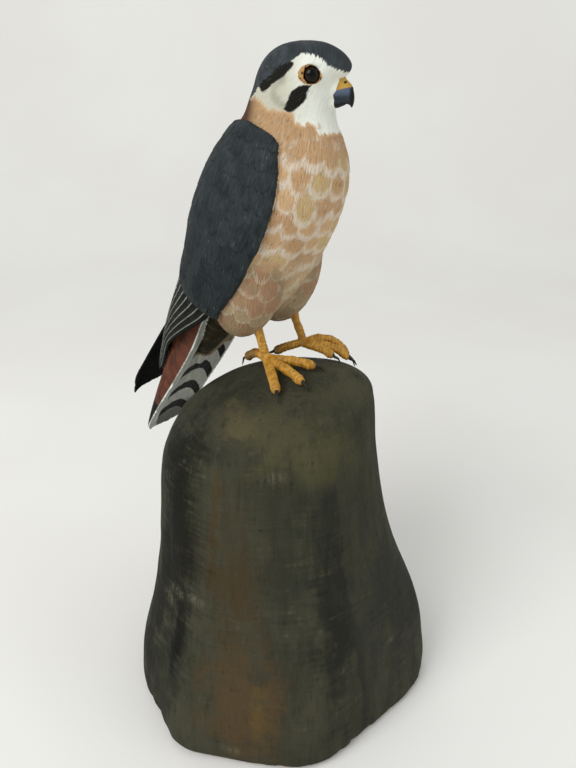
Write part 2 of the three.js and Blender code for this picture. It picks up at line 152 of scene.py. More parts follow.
# %% [markdown]
# Every form of the bird is a closed skin. It starts as a sphere, whose grid of rings and
# meridians is already closed at both poles, and each of its points is moved to a place worked
# out from how far round and how far along the sphere it lies. A sculptor would pull a ball of
# clay in the same way. The guides, such as the height of the section that a point belongs to,
# are kept with the form, because the feathers are laid out by them later.

# %% Closed skins
def points_of(piece):
    flat = np.empty(len(piece.data.vertices) * 3, np.float32)
    piece.data.vertices.foreach_get("co", flat)
    return flat.reshape(-1, 3).astype(float)


def put_points(piece, points):
    piece.data.vertices.foreach_set("co", points.astype(np.float32).ravel())
    piece.data.update()


def normals_of(piece):
    flat = np.empty(len(piece.data.vertices) * 3, np.float32)
    piece.data.vertices.foreach_get("normal", flat)
    return flat.reshape(-1, 3).astype(float)


def triangles_of(piece):
    piece.data.calc_loop_triangles()
    flat = np.empty(len(piece.data.loop_triangles) * 3, np.int32)
    piece.data.loop_triangles.foreach_get("vertices", flat)
    return flat.reshape(-1, 3)


def select_only(*pieces):
    bpy.ops.object.select_all(action="DESELECT")
    for piece in pieces:
        piece.select_set(True)
    bpy.context.view_layer.objects.active = pieces[0]


def closed_skin(name, around, rings, place):
    """A sphere moved by place(turn, along), which gives points in mm and a row of guides."""
    bpy.ops.object.select_all(action="DESELECT")
    bpy.ops.mesh.primitive_uv_sphere_add(segments=around, ring_count=rings, radius=1)
    piece = bpy.context.object
    piece.name = name
    x, y, z = points_of(piece).T
    turn = np.round(np.arctan2(y, x) / TURN, 6) % 1
    along = np.round(1 - np.arccos(np.clip(z, -1, 1)) / math.pi, 6)
    points, guides = place(turn, along)
    put_points(piece, points * MM)
    return {"piece": piece, "points": points, "guides": guides, "faces": triangles_of(piece)}


# %% [markdown]
# The head looks a little to the bird's left. Bill, eyes and face are measured in the head's own
# frame, ahead, left and high, as if it looked straight on, and are then turned at the neck. So
# the turn of the head is one number, and no mark has to be moved by hand.

# %% The head's own frame
HEAD_TURN = 12  # degrees to the bird's left
NECK_Y = -2  # the head turns about an upright line through here


def turned_at_neck(points, degrees):
    x, y, z = points[:, 0], points[:, 1] - NECK_Y, points[:, 2]
    c, s = np.cos(np.radians(degrees)), np.sin(np.radians(degrees))
    return stack(x * c - y * s, x * s + y * c + NECK_Y, z)


def on_head(ahead, left, height):
    return turned_at_neck(stack(left, NECK_Y - np.asarray(ahead, float), height), HEAD_TURN)


def head_frame(points):
    """How far ahead, how far to the left and how high points are, for the turned head."""
    x, y, z = turned_at_neck(points, -HEAD_TURN).T
    return NECK_Y - y, x, z


print("the head turns by", HEAD_TURN, "degrees")

# %% [markdown]
# The body and head are one stack of rounded sections. Each station says where the middle of a
# section is, how far it leans back, how wide it is and how far it reaches to the back and to
# the front. Above the neck the sections turn with the head. A few soft touches then raise the
# brow and the cheek and hollow the place before the eye, as a thumb would in clay.

# %% Body and head
NECK = (318, 340)  # the turn of the head grows over these heights
# [place, y, z, lean, half width, reach to the back, reach to the front, squareness]
BODY = [
    [0, 39, 226, 38, 0, 0, 0, 2],
    [0.05, 35.5, 229, 36, 12, 12, 9, 2],
    [0.12, 31, 234.5, 31, 20, 22, 14.5, 2],
    [0.2, 26, 243, 26, 27, 28, 20, 2.1],
    [0.29, 20, 256, 22, 31, 32.5, 24.6, 2.15],
    [0.38, 14.5, 271, 19, 32.5, 33.5, 28.8, 2.15],
    [0.48, 9.5, 287, 17, 32.5, 32, 33.2, 2.15],
    [0.57, 5, 303, 14.5, 31, 28, 35.4, 2.15],
    [0.64, 2, 314, 12, 27.5, 25, 34.7, 2.1],
    [0.7, -0.5, 323, 9, 22.8, 22.4, 30.3, 2.05],
    [0.75, -2.5, 330, 5, 19, 20.3, 23.3, 2.05],
    [0.8, -4.5, 337, 1, 17.4, 19.7, 20, 2.1],
    [0.85, -7, 343.5, -2, 16.4, 19.9, 20.4, 2.15],
    [0.9, -9, 349.5, -3, 15.6, 20, 22.8, 2.15],
    [0.94, -10, 354.5, -3, 13.6, 18.2, 19, 2.1],
    [0.97, -10, 358.3, -3, 10.2, 14, 13.4, 2],
    [0.99, -9, 360.5, -3, 5.6, 7.2, 7.8, 2],
    [1, -8.5, 361.2, -3, 0, 0, 0, 2],
]
# Touches on the head, in its own frame: ahead, to each side, height, width, lift
HEAD_TOUCHES = [(19, 13, 353.4, 6, 0.9), (24.5, 8.5, 344, 5, -1.4), (9, 16, 338, 8, 0.8)]


def section(y, z, lean, left, back):
    tilt = np.radians(lean)
    return stack(left, y + back * np.cos(tilt), z + back * np.sin(tilt))


def unit(arrows):
    return arrows / np.maximum(np.linalg.norm(arrows, axis=1, keepdims=True), 1e-9)


def body_place(turn, along):
    y, z, lean, half, back, front, square = between(BODY, along)
    angle = turn * TURN
    left = half * rounded(np.cos(angle), square)
    wave = rounded(np.sin(angle), square)
    points = section(y, z, lean, left, wave * np.where(wave > 0, back, front))
    middle = stack(0, y, z)
    for ahead, side, height, wide, lift in HEAD_TOUCHES:
        spot = stack(np.sign(points[:, 0]) * side, NECK_Y - ahead, height)
        near = hump(np.linalg.norm(points - spot, axis=1), wide)
        points = points + unit(points - middle) * (lift * near)[:, None]
    points = turned_at_neck(points, HEAD_TURN * ramp(points[:, 2], *NECK))
    return points, stack(np.cos(angle), np.sin(angle), z)


forms = {"body": closed_skin("body form", 110, 150, body_place)}
print("body form:", len(forms["body"]["points"]), "points")

# %% [markdown]
# The bill is two bent tapering horns that grow out of the face. The upper one hooks down over
# the lower one. Their sections run from the tip back into the head, so the join is hidden.

# %% Bill
# [place, ahead, height, tilt, half width, half depth], from the tip
UPPER_BILL = [
    [0, 31.2, 333.6, -100, 0.3, 0.3],
    [0.12, 31.3, 335.6, -88, 1.3, 1.3],
    [0.3, 29.6, 338.4, -62, 2.8, 3.3],
    [0.5, 27.3, 340.6, -38, 4, 4.7],
    [0.75, 23.6, 342, -12, 5, 5.6],
    [1, 17, 342, 0, 5.2, 5.6],
]
LOWER_BILL = [
    [0, 28, 335.6, -62, 0.3, 0.3],
    [0.3, 26.2, 336, -40, 2.6, 1.9],
    [0.7, 22, 336.6, -18, 3.6, 2.6],
    [1, 16, 337.4, -10, 3.6, 2.8],
]


def bill_place(stations):
    def place(turn, along):
        closing = (along > 0) & (along < 1)
        ahead, height, tilt, half, depth = between(stations, along)
        across = closing * half * np.cos(-turn * TURN)
        up = closing * depth * np.sin(-turn * TURN)
        tilt = np.radians(tilt)
        points = on_head(ahead - up * np.sin(tilt), across, height + up * np.cos(tilt))
        return points, stack(along)

    return place


forms["upper bill"] = closed_skin("upper bill form", 40, 40, bill_place(UPPER_BILL))
forms["lower bill"] = closed_skin("lower bill form", 32, 24, bill_place(LOWER_BILL))
print("bill forms:", [len(forms[name]["points"]) for name in ("upper bill", "lower bill")])

# %% [markdown]
# The thighs are two plump feathered eggs that the legs come out of. A stretched sphere, leaned
# back with the belly, is all that they need before the feathers are cut.

# %% Thighs
THIGH = {"x": 15, "y": 11.3, "z": 256, "lean": 18, "side": 16, "deep": 20, "tall": 33}


def thigh_place(side):
    def place(turn, along):
        out = np.sin(along * math.pi)
        x = THIGH["side"] * out * np.cos(turn * TURN)
        y = THIGH["deep"] * out * np.sin(turn * TURN)
        z = -THIGH["tall"] * np.cos(along * math.pi)
        c, s = math.cos(math.radians(THIGH["lean"])), math.sin(math.radians(THIGH["lean"]))
        points = stack(side * THIGH["x"] + x, THIGH["y"] + y * c - z * s, THIGH["z"] + y * s + z * c)
        return points, stack(x * side, y, z)

    return place


for name, side in (("right", -1), ("left", 1)):
    forms[f"{name} thigh"] = closed_skin(f"{name} thigh form", 48, 40, thigh_place(side))
print("thigh forms:", [name for name in forms if "thigh" in name])

# %% [markdown]
# A folded wing is two thin plates that lie on an oval round the bird: the shield of coverts
# and, under it, the long flight feathers that cross over the tail. A plate's edges are given in
# degrees from the breast, by way of the bird's side, to the back. The left wing tip is longer
# and rides higher, so that it crosses over the right one.

# %% Wings
# [place, y, z, lean, half width, to the back, to the front, front edge, rear edge, thickness]
SHIELD = [
    [0, 28.5, 239.5, 26, 29.5, 32.5, 31, 105, 112, 1],
    [0.03, 28, 240.5, 26, 31.5, 35, 33, 76, 150, 3.4],
    [0.1, 26, 245, 25, 32.4, 35, 34.5, 73, 166, 4.4],
    [0.24, 19.5, 259, 22.5, 34.2, 34.5, 36.5, 66, 167, 5],
    [0.43, 13.5, 277, 19.5, 35, 34.5, 37.8, 58, 164, 5],
    [0.62, 8, 295, 17, 34.5, 31, 38, 54, 161, 5],
    [0.79, 4, 309, 14, 31.8, 27, 36, 54.5, 160, 5],
    [0.9, 1, 318.5, 11, 28, 23.5, 32, 58.5, 158, 5],
    [0.97, -1, 325.5, 9, 24, 21, 27, 67, 150, 4],
    [1, -1.5, 329, 8, 21.5, 19, 24, 100, 112, 1],
]
FLIGHT = [
    [0, 86, 157, 30, 7, 22, 22, 176, 180, 1],
    [0.1, 78, 169, 30, 15, 24.5, 23, 142, 188, 1.8],
    [0.2, 70, 180, 29, 20.3, 26.5, 24, 123, 184, 2.2],
    [0.3, 63, 189, 29, 22.5, 29, 25.5, 121, 180, 2.4],
    [0.4, 55.5, 200, 28.5, 25, 31, 27.5, 117, 178, 2.6],
    [0.5, 47.5, 212, 28, 27, 32.2, 29, 106, 178, 2.8],
    [0.6, 40, 223, 27, 28.8, 33, 30, 95, 178, 3],
    [0.76, 29, 241, 25, 31, 33.6, 31, 78, 175, 3.2],
    [0.9, 21, 256, 23, 32.5, 34.3, 33, 76, 168, 3],
    [1, 17, 266, 22, 32, 32, 32, 120, 128, 1],
]
# Its side, how far its tip lies over the midline, how much further it reaches, how much higher
WING_TIPS = {"right": (-1, 3, -3, 0), "left": (1, 14, 9.5, 3)}
TIPS_APART = (250, 165)  # the heights over which the two wings part
WING_EDGE, WING_FACE = 3.2, 2.6


def wing_place(stations, side, over, longer, higher):
    def place(turn, along):
        y, z, lean, half, back, front, fore, rear, thick = between(stations, along)
        at_tip = ramp(-z, -TIPS_APART[0], -TIPS_APART[1])
        angle = (turn if side < 0 else 1 - turn) * TURN
        inside = (along > 0) & (along < 1)
        across = inside * rounded(np.cos(angle), WING_EDGE)
        out = inside * rounded(np.sin(angle), WING_FACE) * thick / 2
        degrees = mix(fore, rear, (across + 1) / 2)
        swing = np.radians(degrees)
        reach = np.where(np.cos(swing) > 0, front, back) + higher * at_tip + out
        sideways = (half + out) * np.sin(swing) - over * at_tip**1.5
        down = longer * at_tip
        y = y + down * np.sin(np.radians(lean))
        z = z - down * np.cos(np.radians(lean))
        points = section(y, z, lean, side * sideways, -reach * np.cos(swing))
        return points, stack(degrees, z, (across + 1) / 2)

    return place


for name, shape in WING_TIPS.items():
    forms[f"{name} shield"] = closed_skin(f"{name} shield form", 96, 90, wing_place(SHIELD, *shape))
    forms[f"{name} flight"] = closed_skin(f"{name} flight form", 96, 90, wing_place(FLIGHT, *shape))
print("wing forms:", [name for name in forms if "shield" in name or "flight" in name])

# %% [markdown]
# The folded tail is a long flat bar, arched on top and a little hollow below. The coverts are
# a wedge of feathers that runs out along its underside from the belly.

# %% Tail and its coverts
TAIL_HALF_WIDTH = 19
TAIL_ASIDE = 1  # mm to the bird's left
TAIL_HOLLOW = 3  # mm, how far the underside bulges or sinks from its middle line
TAIL_EDGE, TAIL_FACE = 3, 2.4  # squareness across and through the tail
TAIL_END_RISE = 0.3  # where the two ends close, as a share of the height of the back
# [place, y, z, lean, half width as a share, height of its back]
TAIL = [
    [0, 98.8, 138.6, 35, 0.8, 4.5],
    [0.06, 95.6, 143.9, 35, 0.97, 6.5],
    [0.25, 82, 163.5, 35, 1, 13],
    [0.5, 65, 186.5, 34, 1, 20],
    [0.72, 52, 205.5, 31, 1, 25.5],
    [0.88, 44, 220, 29, 1, 29],
    [1, 37, 236, 28, 0.9, 29],
]
# [place, y, z, lean, half width, half depth]
COVERTS = [
    [0, 67, 189, 34, 1, 1],
    [0.15, 60, 198.5, 33, 5, 3],
    [0.45, 49.5, 213, 33, 10, 6.5],
    [0.75, 39, 227, 34, 13, 9],
    [1, 28, 240, 34, 12, 9],
]


def tail_place(turn, along):
    y, z, lean, half, height = between(TAIL, along)
    inside = (along > 0) & (along < 1)
    share = inside * rounded(np.cos(turn * TURN), TAIL_EDGE)
    wave = np.where(inside, rounded(np.sin(turn * TURN), TAIL_FACE), TAIL_END_RISE)
    back = wave * np.where(wave > 0, height, -np.minimum(TAIL_HOLLOW, height / 3))
    points = section(y, z, lean, TAIL_ASIDE + half * TAIL_HALF_WIDTH * share, back)
    return points, stack(share, wave, back, z)


def coverts_place(turn, along):
    y, z, lean, half, depth = between(COVERTS, along)
    inside = (along > 0) & (along < 1)
    left = inside * half * np.cos(turn * TURN)
    points = section(y, z, lean, left, inside * depth * np.sin(turn * TURN))
    return points, stack(left, z)


forms["tail"] = closed_skin("tail form", 80, 90, tail_place)
forms["coverts"] = closed_skin("coverts form", 48, 40, coverts_place)
print("forms in all:", len(forms))

# %% [markdown]
# Later steps ask again and again which form a point of the bird belongs to. A search tree over
# the faces of a form finds the nearest place on it. The guides there are blended from the three
# corners of the face, so they run on smoothly from one face to the next.

# %% The nearest form
FAR = 9.0  # mm, the distance that is written for a form that is nowhere near
SEARCH_REACH = 3.0  # mm round a form, inside which points are measured


def nearest_on(form, points):
    """Distance to a form, the nearest place on it, and its guides there, for each point."""
    tree = BVHTree.FromPolygons(form["points"].tolist(), form["faces"].tolist(), all_triangles=True)
    low, high = form["points"].min(0) - SEARCH_REACH, form["points"].max(0) + SEARCH_REACH
    close = np.flatnonzero(np.all((points > low) & (points < high), axis=1))
    found = [tree.find_nearest(point) for point in points[close].tolist()]
    spots = np.array([hit[0] for hit in found]).reshape(-1, 3)
    faces = form["faces"][[hit[2] for hit in found]]
    corners = form["points"][faces]
    edges = corners[:, 1:] - corners[:, :1]
    offset = spots - corners[:, 0]
    (aa, ab, bb) = [np.sum(edges[:, i] * edges[:, j], 1) for i, j in ((0, 0), (0, 1), (1, 1))]
    da, db = np.sum(offset * edges[:, 0], 1), np.sum(offset * edges[:, 1], 1)
    size = np.maximum(aa * bb - ab * ab, 1e-12)
    second, third = (bb * da - ab * db) / size, (aa * db - ab * da) / size
    shares = np.clip(stack(1 - second - third, second, third), 0, 1)
    distance = np.full(len(points), FAR)
    distance[close] = np.minimum([hit[3] for hit in found], FAR)
    place = points.copy()
    place[close] = spots
    guides = np.zeros((len(points), form["guides"].shape[1]))
    guides[close] = np.sum(form["guides"][faces] * shares[:, :, None], 1)
    return distance, place, guides


print("forms to search:", list(forms))

# %% [markdown]
# The real bird is one block of wood, so the forms become one skin. A voxel remesh melts them
# together, as a carver rounds one form into the next, and its even grid of small faces is what
# the feather cuts need. Each point is then laid back on the form nearest to it, which takes
# away the remesh's small steps and keeps the edges of the wings and the bill crisp. Last, the
# joint between thighs and belly is smoothed, because the photo shows no step there.

# %% One skin for the bird
GRAIN_OF_MESH = 0.9  # mm between points
LAID_BACK = 1.2  # mm, how far a point may be moved onto its form
JOINT_WIDE = 3.0  # mm, the width of the band that is smoothed between thigh and belly
JOINT_ABOVE = 243  # mm, the height above which it is smoothed
JOINT_STROKES = 26


def apply_modifier(piece, kind, **settings):
    select_only(piece)
    modifier = piece.modifiers.new(kind.title(), kind)
    for key, value in settings.items():
        setattr(modifier, key, value)
    bpy.ops.object.modifier_apply(modifier=modifier.name)


select_only(*[form["piece"] for form in forms.values()])
bpy.ops.object.join()
bird = bpy.context.object
bird.name = "kestrel_carving"
apply_modifier(bird, "REMESH", mode="VOXEL", voxel_size=GRAIN_OF_MESH * MM)
points = points_of(bird) / MM
near = {name: nearest_on(form, points) for name, form in forms.items()}
names = list(near)
distances = np.array([near[name][0] for name in names])
owner = np.argmin(distances, axis=0)
places = np.array([near[name][1] for name in names])
nearest_place = places[owner, np.arange(len(points))]
nearest_distance = distances.min(0)
points = np.where((nearest_distance < LAID_BACK)[:, None], nearest_place, points)
put_points(bird, points * MM)
from_thighs = np.minimum(near["right thigh"][0], near["left thigh"][0])
at_joint = np.abs(near["body"][0] - from_thighs) < JOINT_WIDE
soft = at_joint & (points[:, 2] > JOINT_ABOVE) & (nearest_distance < JOINT_WIDE)
group = bird.vertex_groups.new(name="thigh joint")
group.add(np.flatnonzero(soft).tolist(), 1.0, "REPLACE")
apply_modifier(bird, "SMOOTH", factor=0.5, iterations=JOINT_STROKES, vertex_group=group.name)
points = points_of(bird) / MM
print("bird:", len(points), "points,", len(triangles_of(bird)), "triangles")

# %% [markdown]
# The paint follows the forms, so each point is told how deep it lies inside every region, in
# mm: positive inside, negative outside, and zero on the line between two regions. The shader
# cuts the edges of the paint on those zeros, which keeps them sharper than the mesh. A crease
# lies where two forms are equally near.

# %% Regions
FADE = 5  # mm, beyond which a region's depth says no more
SOFT_ABOVE = 240  # mm, above which no line shows between the thighs and the belly
CREASE_OPENS = (0.1, 1.6)  # mm from a crease, over which the relief comes to its full height


def depth_inside(*members):
    """How far inside a group of forms each point lies, against all the other forms."""
    chosen = np.array([name in members for name in names])
    return np.clip(distances[~chosen].min(0) - distances[chosen].min(0), -FADE, FADE)


region = {
    "shield": depth_inside("right shield", "left shield"),
    "flight": depth_inside("right flight", "left flight"),
    "rear": depth_inside("tail", "coverts"),
    "coverts": depth_inside("coverts"),
    "thigh": depth_inside("right thigh", "left thigh"),
    "bill": depth_inside("upper bill", "lower bill"),
}


def guides_of(*members):
    """The guides of the nearest one of some forms."""
    distance = np.array([near[name][0] for name in members])
    guides = np.array([near[name][2] for name in members])
    return guides[distance.argmin(0), np.arange(len(points))]


order = np.argsort(distances, axis=0)
crease = distances[order[1], np.arange(len(points))] - nearest_distance
plain_forms = [names.index(name) for name in ("body", "right thigh", "left thigh")]
soft_joint = np.isin(order[0], plain_forms) & np.isin(order[1], plain_forms)
open_surface = ramp(crease, *CREASE_OPENS)  # 0 in a crease between two forms
crease = np.where(soft_joint & (points[:, 2] > SOFT_ABOVE), FAR, crease)
print("share of points:", {name: round(float((depth > 0).mean()), 2) for name, depth in region.items()})

# %% [markdown]
# Carved feathers lie like roof tiles. Rows run across, each row is shifted by half a feather,
# and every tile ends in a round tip that covers the root of the two below. For any point, the
# highest row whose tip still reaches past it is the feather that shows there. From that come
# the distance to the edge of its tip, the distance past the tip above, and a random number.

# %% Feather tiles
TIP_STRAIGHT, TIP_ROUND = 0.75, 0.5  # a tip's edge, in rows: its shoulders, and its bulge
EDGE_STEP = (-0.1, 0.35)  # mm from the edge, over which a feather steps down
UNDER_TIP = 0.25  # how deep a feather dips under the tip above, and how far, as a share


def feather_tiles(across, rows, wide, long, seed, ragged=0.08):
    """Distance to the edge of the tip, distance past the tip above, random value."""
    first = np.floor(rows - TIP_STRAIGHT - TIP_ROUND - ragged) + 1

    def tile(row):
        column = np.floor(across / wide - 0.5 * (row % 2))
        x = across / wide - 0.5 * (row % 2) - column - 0.5
        chance = dice(row, column, seed)
        arc = np.sqrt(np.maximum(1 - 4 * x**2, 0.02))
        edge = row + TIP_STRAIGHT + TIP_ROUND * arc + ragged * (2 * chance - 1)
        steep = np.sqrt(1 + (2 * TIP_ROUND * x / arc * long / wide) ** 2)
        return (edge - rows) * long / steep, chance

    above, upper, lower = tile(first - 1), tile(first), tile(first + 1)
    on_upper = upper[0] > 0
    to_edge = np.where(on_upper, upper[0], lower[0])
    past_edge = np.where(on_upper, -above[0], -upper[0])
    chance = np.where(on_upper, upper[1], lower[1])
    return to_edge, np.maximum(past_edge, 0), chance


def tile_rise(to_edge, past_edge, reach):
    """0 to 1: a feather swells towards its tip, and starts low under the tip above it."""
    swell = np.exp(-to_edge / reach) * ramp(to_edge, *EDGE_STEP)
    return swell - UNDER_TIP * np.exp(-past_edge / (UNDER_TIP * reach))


print("feather tiles ready")

# %% [markdown]
# The breast has large soft scales, so its tiles are about as wide as they are long. Their grid
# is measured round the body from the middle of the breast, and down from the throat, and is
# pushed about by slow lumps, because no two feathers were drawn alike. Neither relief nor pale
# edges reach the throat, and the relief dies out down the middle of the back, where rows meet.

# %% Breast, belly and back feathers
BREAST_WIDE, BREAST_LONG, BREAST_RISE = 11.0, 9.3, 0.34
BREAST_RAGGED, BREAST_SWELL = 0.16, 3.2
ROUND_RADIUS = 33  # mm of a feather's width for one radian round the body
THROAT = 345  # the height where the rows begin
ROW_WANDER, ACROSS_WANDER = 0.35, 2.8  # rows, and mm
RELIEF_ENDS = (-332, -318)  # heights below zero, over which the relief fades towards the throat
FRINGE_ENDS = (-332, -316)  # the same for the pale edges
SEAM_FADE = (2, 12)  # mm from the middle of the back
FRINGE, UNDER_FRINGE = 3.0, 1.6  # mm of pale edge on a feather, and on the one below it
PLAIN_TONE = 0.3  # the tone above the breast, between 0 and 1

cosine, sine, station = near["body"][2].T
round_body = np.arctan2(cosine, -sine) * ROUND_RADIUS
breast_rows = (THROAT - station) / BREAST_LONG + lumps(points, 15, 3) * ROW_WANDER
breast_across = round_body + lumps(points, 13, 4) * ACROSS_WANDER
to_edge, past_edge, chance = feather_tiles(
    breast_across, breast_rows, BREAST_WIDE, BREAST_LONG, 1, BREAST_RAGGED
)
from_seam = math.pi * ROUND_RADIUS - np.abs(round_body)
rise = BREAST_RISE * tile_rise(to_edge, past_edge, BREAST_SWELL)
rise = rise * ramp(-points[:, 2], *RELIEF_ENDS) * ramp(from_seam, *SEAM_FADE)
on_breast = ramp(-station, *FRINGE_ENDS)
fringe = np.maximum(hump(to_edge, FRINGE), 0.8 * hump(past_edge, UNDER_FRINGE)) * on_breast
chance = mix(PLAIN_TONE, chance, on_breast)
print("breast rows:", int(np.ptp(np.floor(breast_rows))))

# %% [markdown]
# On the wing the feathers grow from small scales at the shoulder to long strips at the lower
# edge. A logarithm of the distance down gives rows that lengthen evenly. The flight feathers
# and the tail feathers are long blades side by side, each riding on the next.

# %% Wing and tail feathers
WING_WIDE, WING_RISE, WING_RAGGED, WING_SWELL = 6.6, 0.34, 0.12, 4.5
WING_ROUND = 35  # mm for one radian round the bird
WING_WANDER = 1.2  # mm
SHIELD_TOP, ROW_SLANT = 329, 0.12  # mm, and how much a row slopes from front to back
FIRST_ROW, ROW_GROWTH = 5.5, 0.09  # mm, and its growth for each mm down the wing
BLADES = [0.05, 0.13, 0.21, 0.29, 0.37, 0.46, 0.56, 0.68, 0.82, 0.95]  # shares of the width
BLADE_RISE = 0.5  # mm from one edge of a feather to the other
TAIL_BLADE_WIDE, TAIL_BLADE_RISE = 5.0, 0.25  # mm

swing, wing_station, _ = guides_of("right shield", "left shield").T
wing_across = np.radians(swing) * WING_ROUND
down_wing = np.maximum(SHIELD_TOP - wing_station + ROW_SLANT * wing_across, 0)
wing_rows = np.log1p(down_wing * ROW_GROWTH / FIRST_ROW) / ROW_GROWTH
row_length = FIRST_ROW + ROW_GROWTH * down_wing
wing_to_edge, wing_past_edge, wing_chance = feather_tiles(
    wing_across + lumps(points, 12, 7) * WING_WANDER, wing_rows, WING_WIDE, row_length, 2, WING_RAGGED
)
wing_rise = WING_RISE * tile_rise(wing_to_edge, wing_past_edge, WING_SWELL)

_, flight_station, flight_share = guides_of("right flight", "left flight").T
blade_edges = [0, *BLADES, 1]
blade_counts = [0.5, *range(1, len(BLADES) + 1), len(BLADES) + 0.5]
blade = np.interp(flight_share, blade_edges, blade_counts)
flight_rise = BLADE_RISE * (0.5 - blade % 1)

tail_share, tail_wave, tail_back, tail_station = near["tail"][2].T
tail_x = tail_share * TAIL_HALF_WIDTH
tail_rise = TAIL_BLADE_RISE * (0.5 - np.abs(tail_x) / TAIL_BLADE_WIDE % 1)
print("wing rows:", round(float(wing_rows.max()), 1))

# %% [markdown]
# The thighs and the coverts under the tail carry soft, shallow feathers, made of the same
# tiles. Then every point takes its rise, its pale edge and its tone from the region that it lies
# in. The bill stays smooth, without feathers.

# %% Thigh and covert feathers
THIGH_WIDE, THIGH_LONG, THIGH_RISE, THIGH_RAGGED = 9.5, 10, 0.22, 0.2
THIGH_ROUND = 16  # mm for one radian round the thigh
THIGH_WANDER = (2.4, 0.3)  # mm across, and rows
COVERT_TOP, COVERT_WIDE, COVERT_LONG, COVERT_RISE = 242, 6.5, 9, 0.3
SOFT_SWELL = 3.0  # mm from the edge of a tip, over which these feathers swell
WING_FRINGE, COVERT_FRINGE = 0.9, 1.4  # mm of edge
BILL_TONE = 0.5

thigh_x, thigh_y, thigh_z = guides_of("right thigh", "left thigh").T
thigh_round = np.arctan2(thigh_x, -thigh_y) * THIGH_ROUND + lumps(points, 9, 11) * THIGH_WANDER[0]
thigh_rows = (THIGH["tall"] - thigh_z) / THIGH_LONG + lumps(points, 12, 12) * THIGH_WANDER[1]
thigh_to_edge, thigh_past_edge, thigh_chance = feather_tiles(
    thigh_round, thigh_rows, THIGH_WIDE, THIGH_LONG, 5, THIGH_RAGGED
)

covert_x, covert_z = near["coverts"][2].T
covert_rows = (COVERT_TOP - covert_z) / COVERT_LONG
covert_to_edge, covert_past_edge, covert_chance = feather_tiles(
    covert_x + lumps(points, 8, 14), covert_rows, COVERT_WIDE, COVERT_LONG, 6
)


def by_region(plain, **choices):
    """Takes each point's value from the region that it lies in."""
    result = np.array(plain, float)
    for name, value in choices.items():
        result = np.where(region[name] > 0, value, result)
    return result


rise = by_region(
    rise,
    shield=wing_rise,
    flight=flight_rise,
    rear=tail_rise,
    thigh=THIGH_RISE * tile_rise(thigh_to_edge, thigh_past_edge, SOFT_SWELL),
    coverts=COVERT_RISE * tile_rise(covert_to_edge, covert_past_edge, SOFT_SWELL),
    bill=0,
)
fringe = by_region(
    fringe,
    shield=hump(wing_to_edge, WING_FRINGE),
    flight=0,
    rear=0,
    thigh=hump(thigh_to_edge, FRINGE),
    coverts=hump(covert_to_edge, COVERT_FRINGE),
    bill=0,
)
tone = by_region(chance, shield=wing_chance, thigh=thigh_chance, coverts=covert_chance, bill=BILL_TONE)
print("fringe from", round(float(fringe.min()), 2), "to", round(float(fringe.max()), 2))

# %% [markdown]
# The markings of the face are drawn on the side of the head, as a painter would pencil them:
# each is an outline in two numbers, how far ahead and how high. The lower edge of the cap, the
# black stripes, the edge of the white bib and the bare skin round eye and bill follow the photo.

# %% Face outlines
# Outlines as (ahead, height) in the head's own frame
CAP_EDGE = [
    (-30, 330), (-12.2, 338.3), (-9.8, 340), (-7.5, 342.4), (-5.2, 344.8), (-2.8, 346),
    (0.3, 348.3), (4, 351), (7.6, 352.5), (9.6, 353.6), (11.7, 354.8), (13.6, 355.7),
    (16.1, 355.7), (18.3, 355.1), (20.8, 354.1), (23, 352.6), (24.6, 351), (26.4, 350.4),
    (27.9, 349.1), (32, 347.5),
]
EAR_STRIPE = [
    (-3.9, 340.9), (-5.6, 341.5), (-7.2, 344), (-6, 346.4), (-3.2, 348), (-0.4, 350.4),
    (3.4, 353), (7.6, 353.6), (10.5, 351.9), (9.4, 349.9), (6.5, 347.4), (3.2, 345.5),
    (-0.2, 343.3), (-2.5, 341.3),
]
MOUSTACHE = [
    (18, 344), (17.2, 342.6), (16.1, 341.1), (15.9, 339.1), (15, 337), (12.9, 335.1),
    (10.7, 333.3), (9, 333.3), (7.3, 334.4), (8.3, 336.6), (9.1, 338.8), (10.2, 341.1),
    (11.8, 342.6), (13.6, 343.4), (15.5, 343.8), (16.9, 343.6),
]
BIB_EDGE = [
    (-30, 345), (-10.9, 338), (-8, 338.7), (-5.2, 337.7), (-3.2, 335.8), (0.2, 333.9),
    (3.7, 333.6), (7.3, 334), (9.9, 332.9), (11.6, 330.9), (12.9, 328.8), (15.4, 327.8),
    (16.9, 328.3), (18.2, 329.1), (19.5, 328.3), (20.7, 326.1), (21.8, 323.9), (22.8, 323.7),
    (23.2, 324.8), (24.1, 324.3), (28, 324.5),
]
EAR_FOLD = [(6.1, 345.7), (3.3, 344.1), (1.5, 341.8), (2.3, 339.1), (4.9, 336.8), (7.3, 335.6)]
# The rear edge of the bare skin over the bill, as (height, ahead)
CERE_EDGE = [(336, 24.1), (339.8, 24.1), (341.4, 25.5), (342.9, 25.8), (344.9, 26.3), (346.4, 26.3)]
# An eye's place and size, the way that it looks, and the ring of bare skin round it
EYE = {"ahead": 16.9, "side": 11.4, "height": 347.6, "radius": 3.8, "gap": 0.15}
EYE_LOOKS = {"ahead": 0.478, "side": 0.878, "height": 0.04}
EYE_RING = {"ahead": 17.3, "height": 347.8, "half_long": 4.55, "half_tall": 3.85}
print("outlines of", sum(map(len, (CAP_EDGE, EAR_STRIPE, MOUSTACHE, BIB_EDGE))), "points")

# %% [markdown]
# What the shader needs is the distance to an outline: above zero inside, below zero outside.
# It is worked out for each point of the head, on both sides alike.

# %% Face markings
MARK_REACH = 3  # mm, beyond which a mark's distance says no more


def above_line(line, ahead, height):
    """How far above a line of (ahead, height) points a place is, measured square to the line."""
    x, y = np.array(line, float).T
    level = np.interp(ahead, x, y)
    slope = np.interp(ahead + 0.5, x, y) - np.interp(ahead - 0.5, x, y)
    return (height - level) / np.sqrt(1 + slope**2)


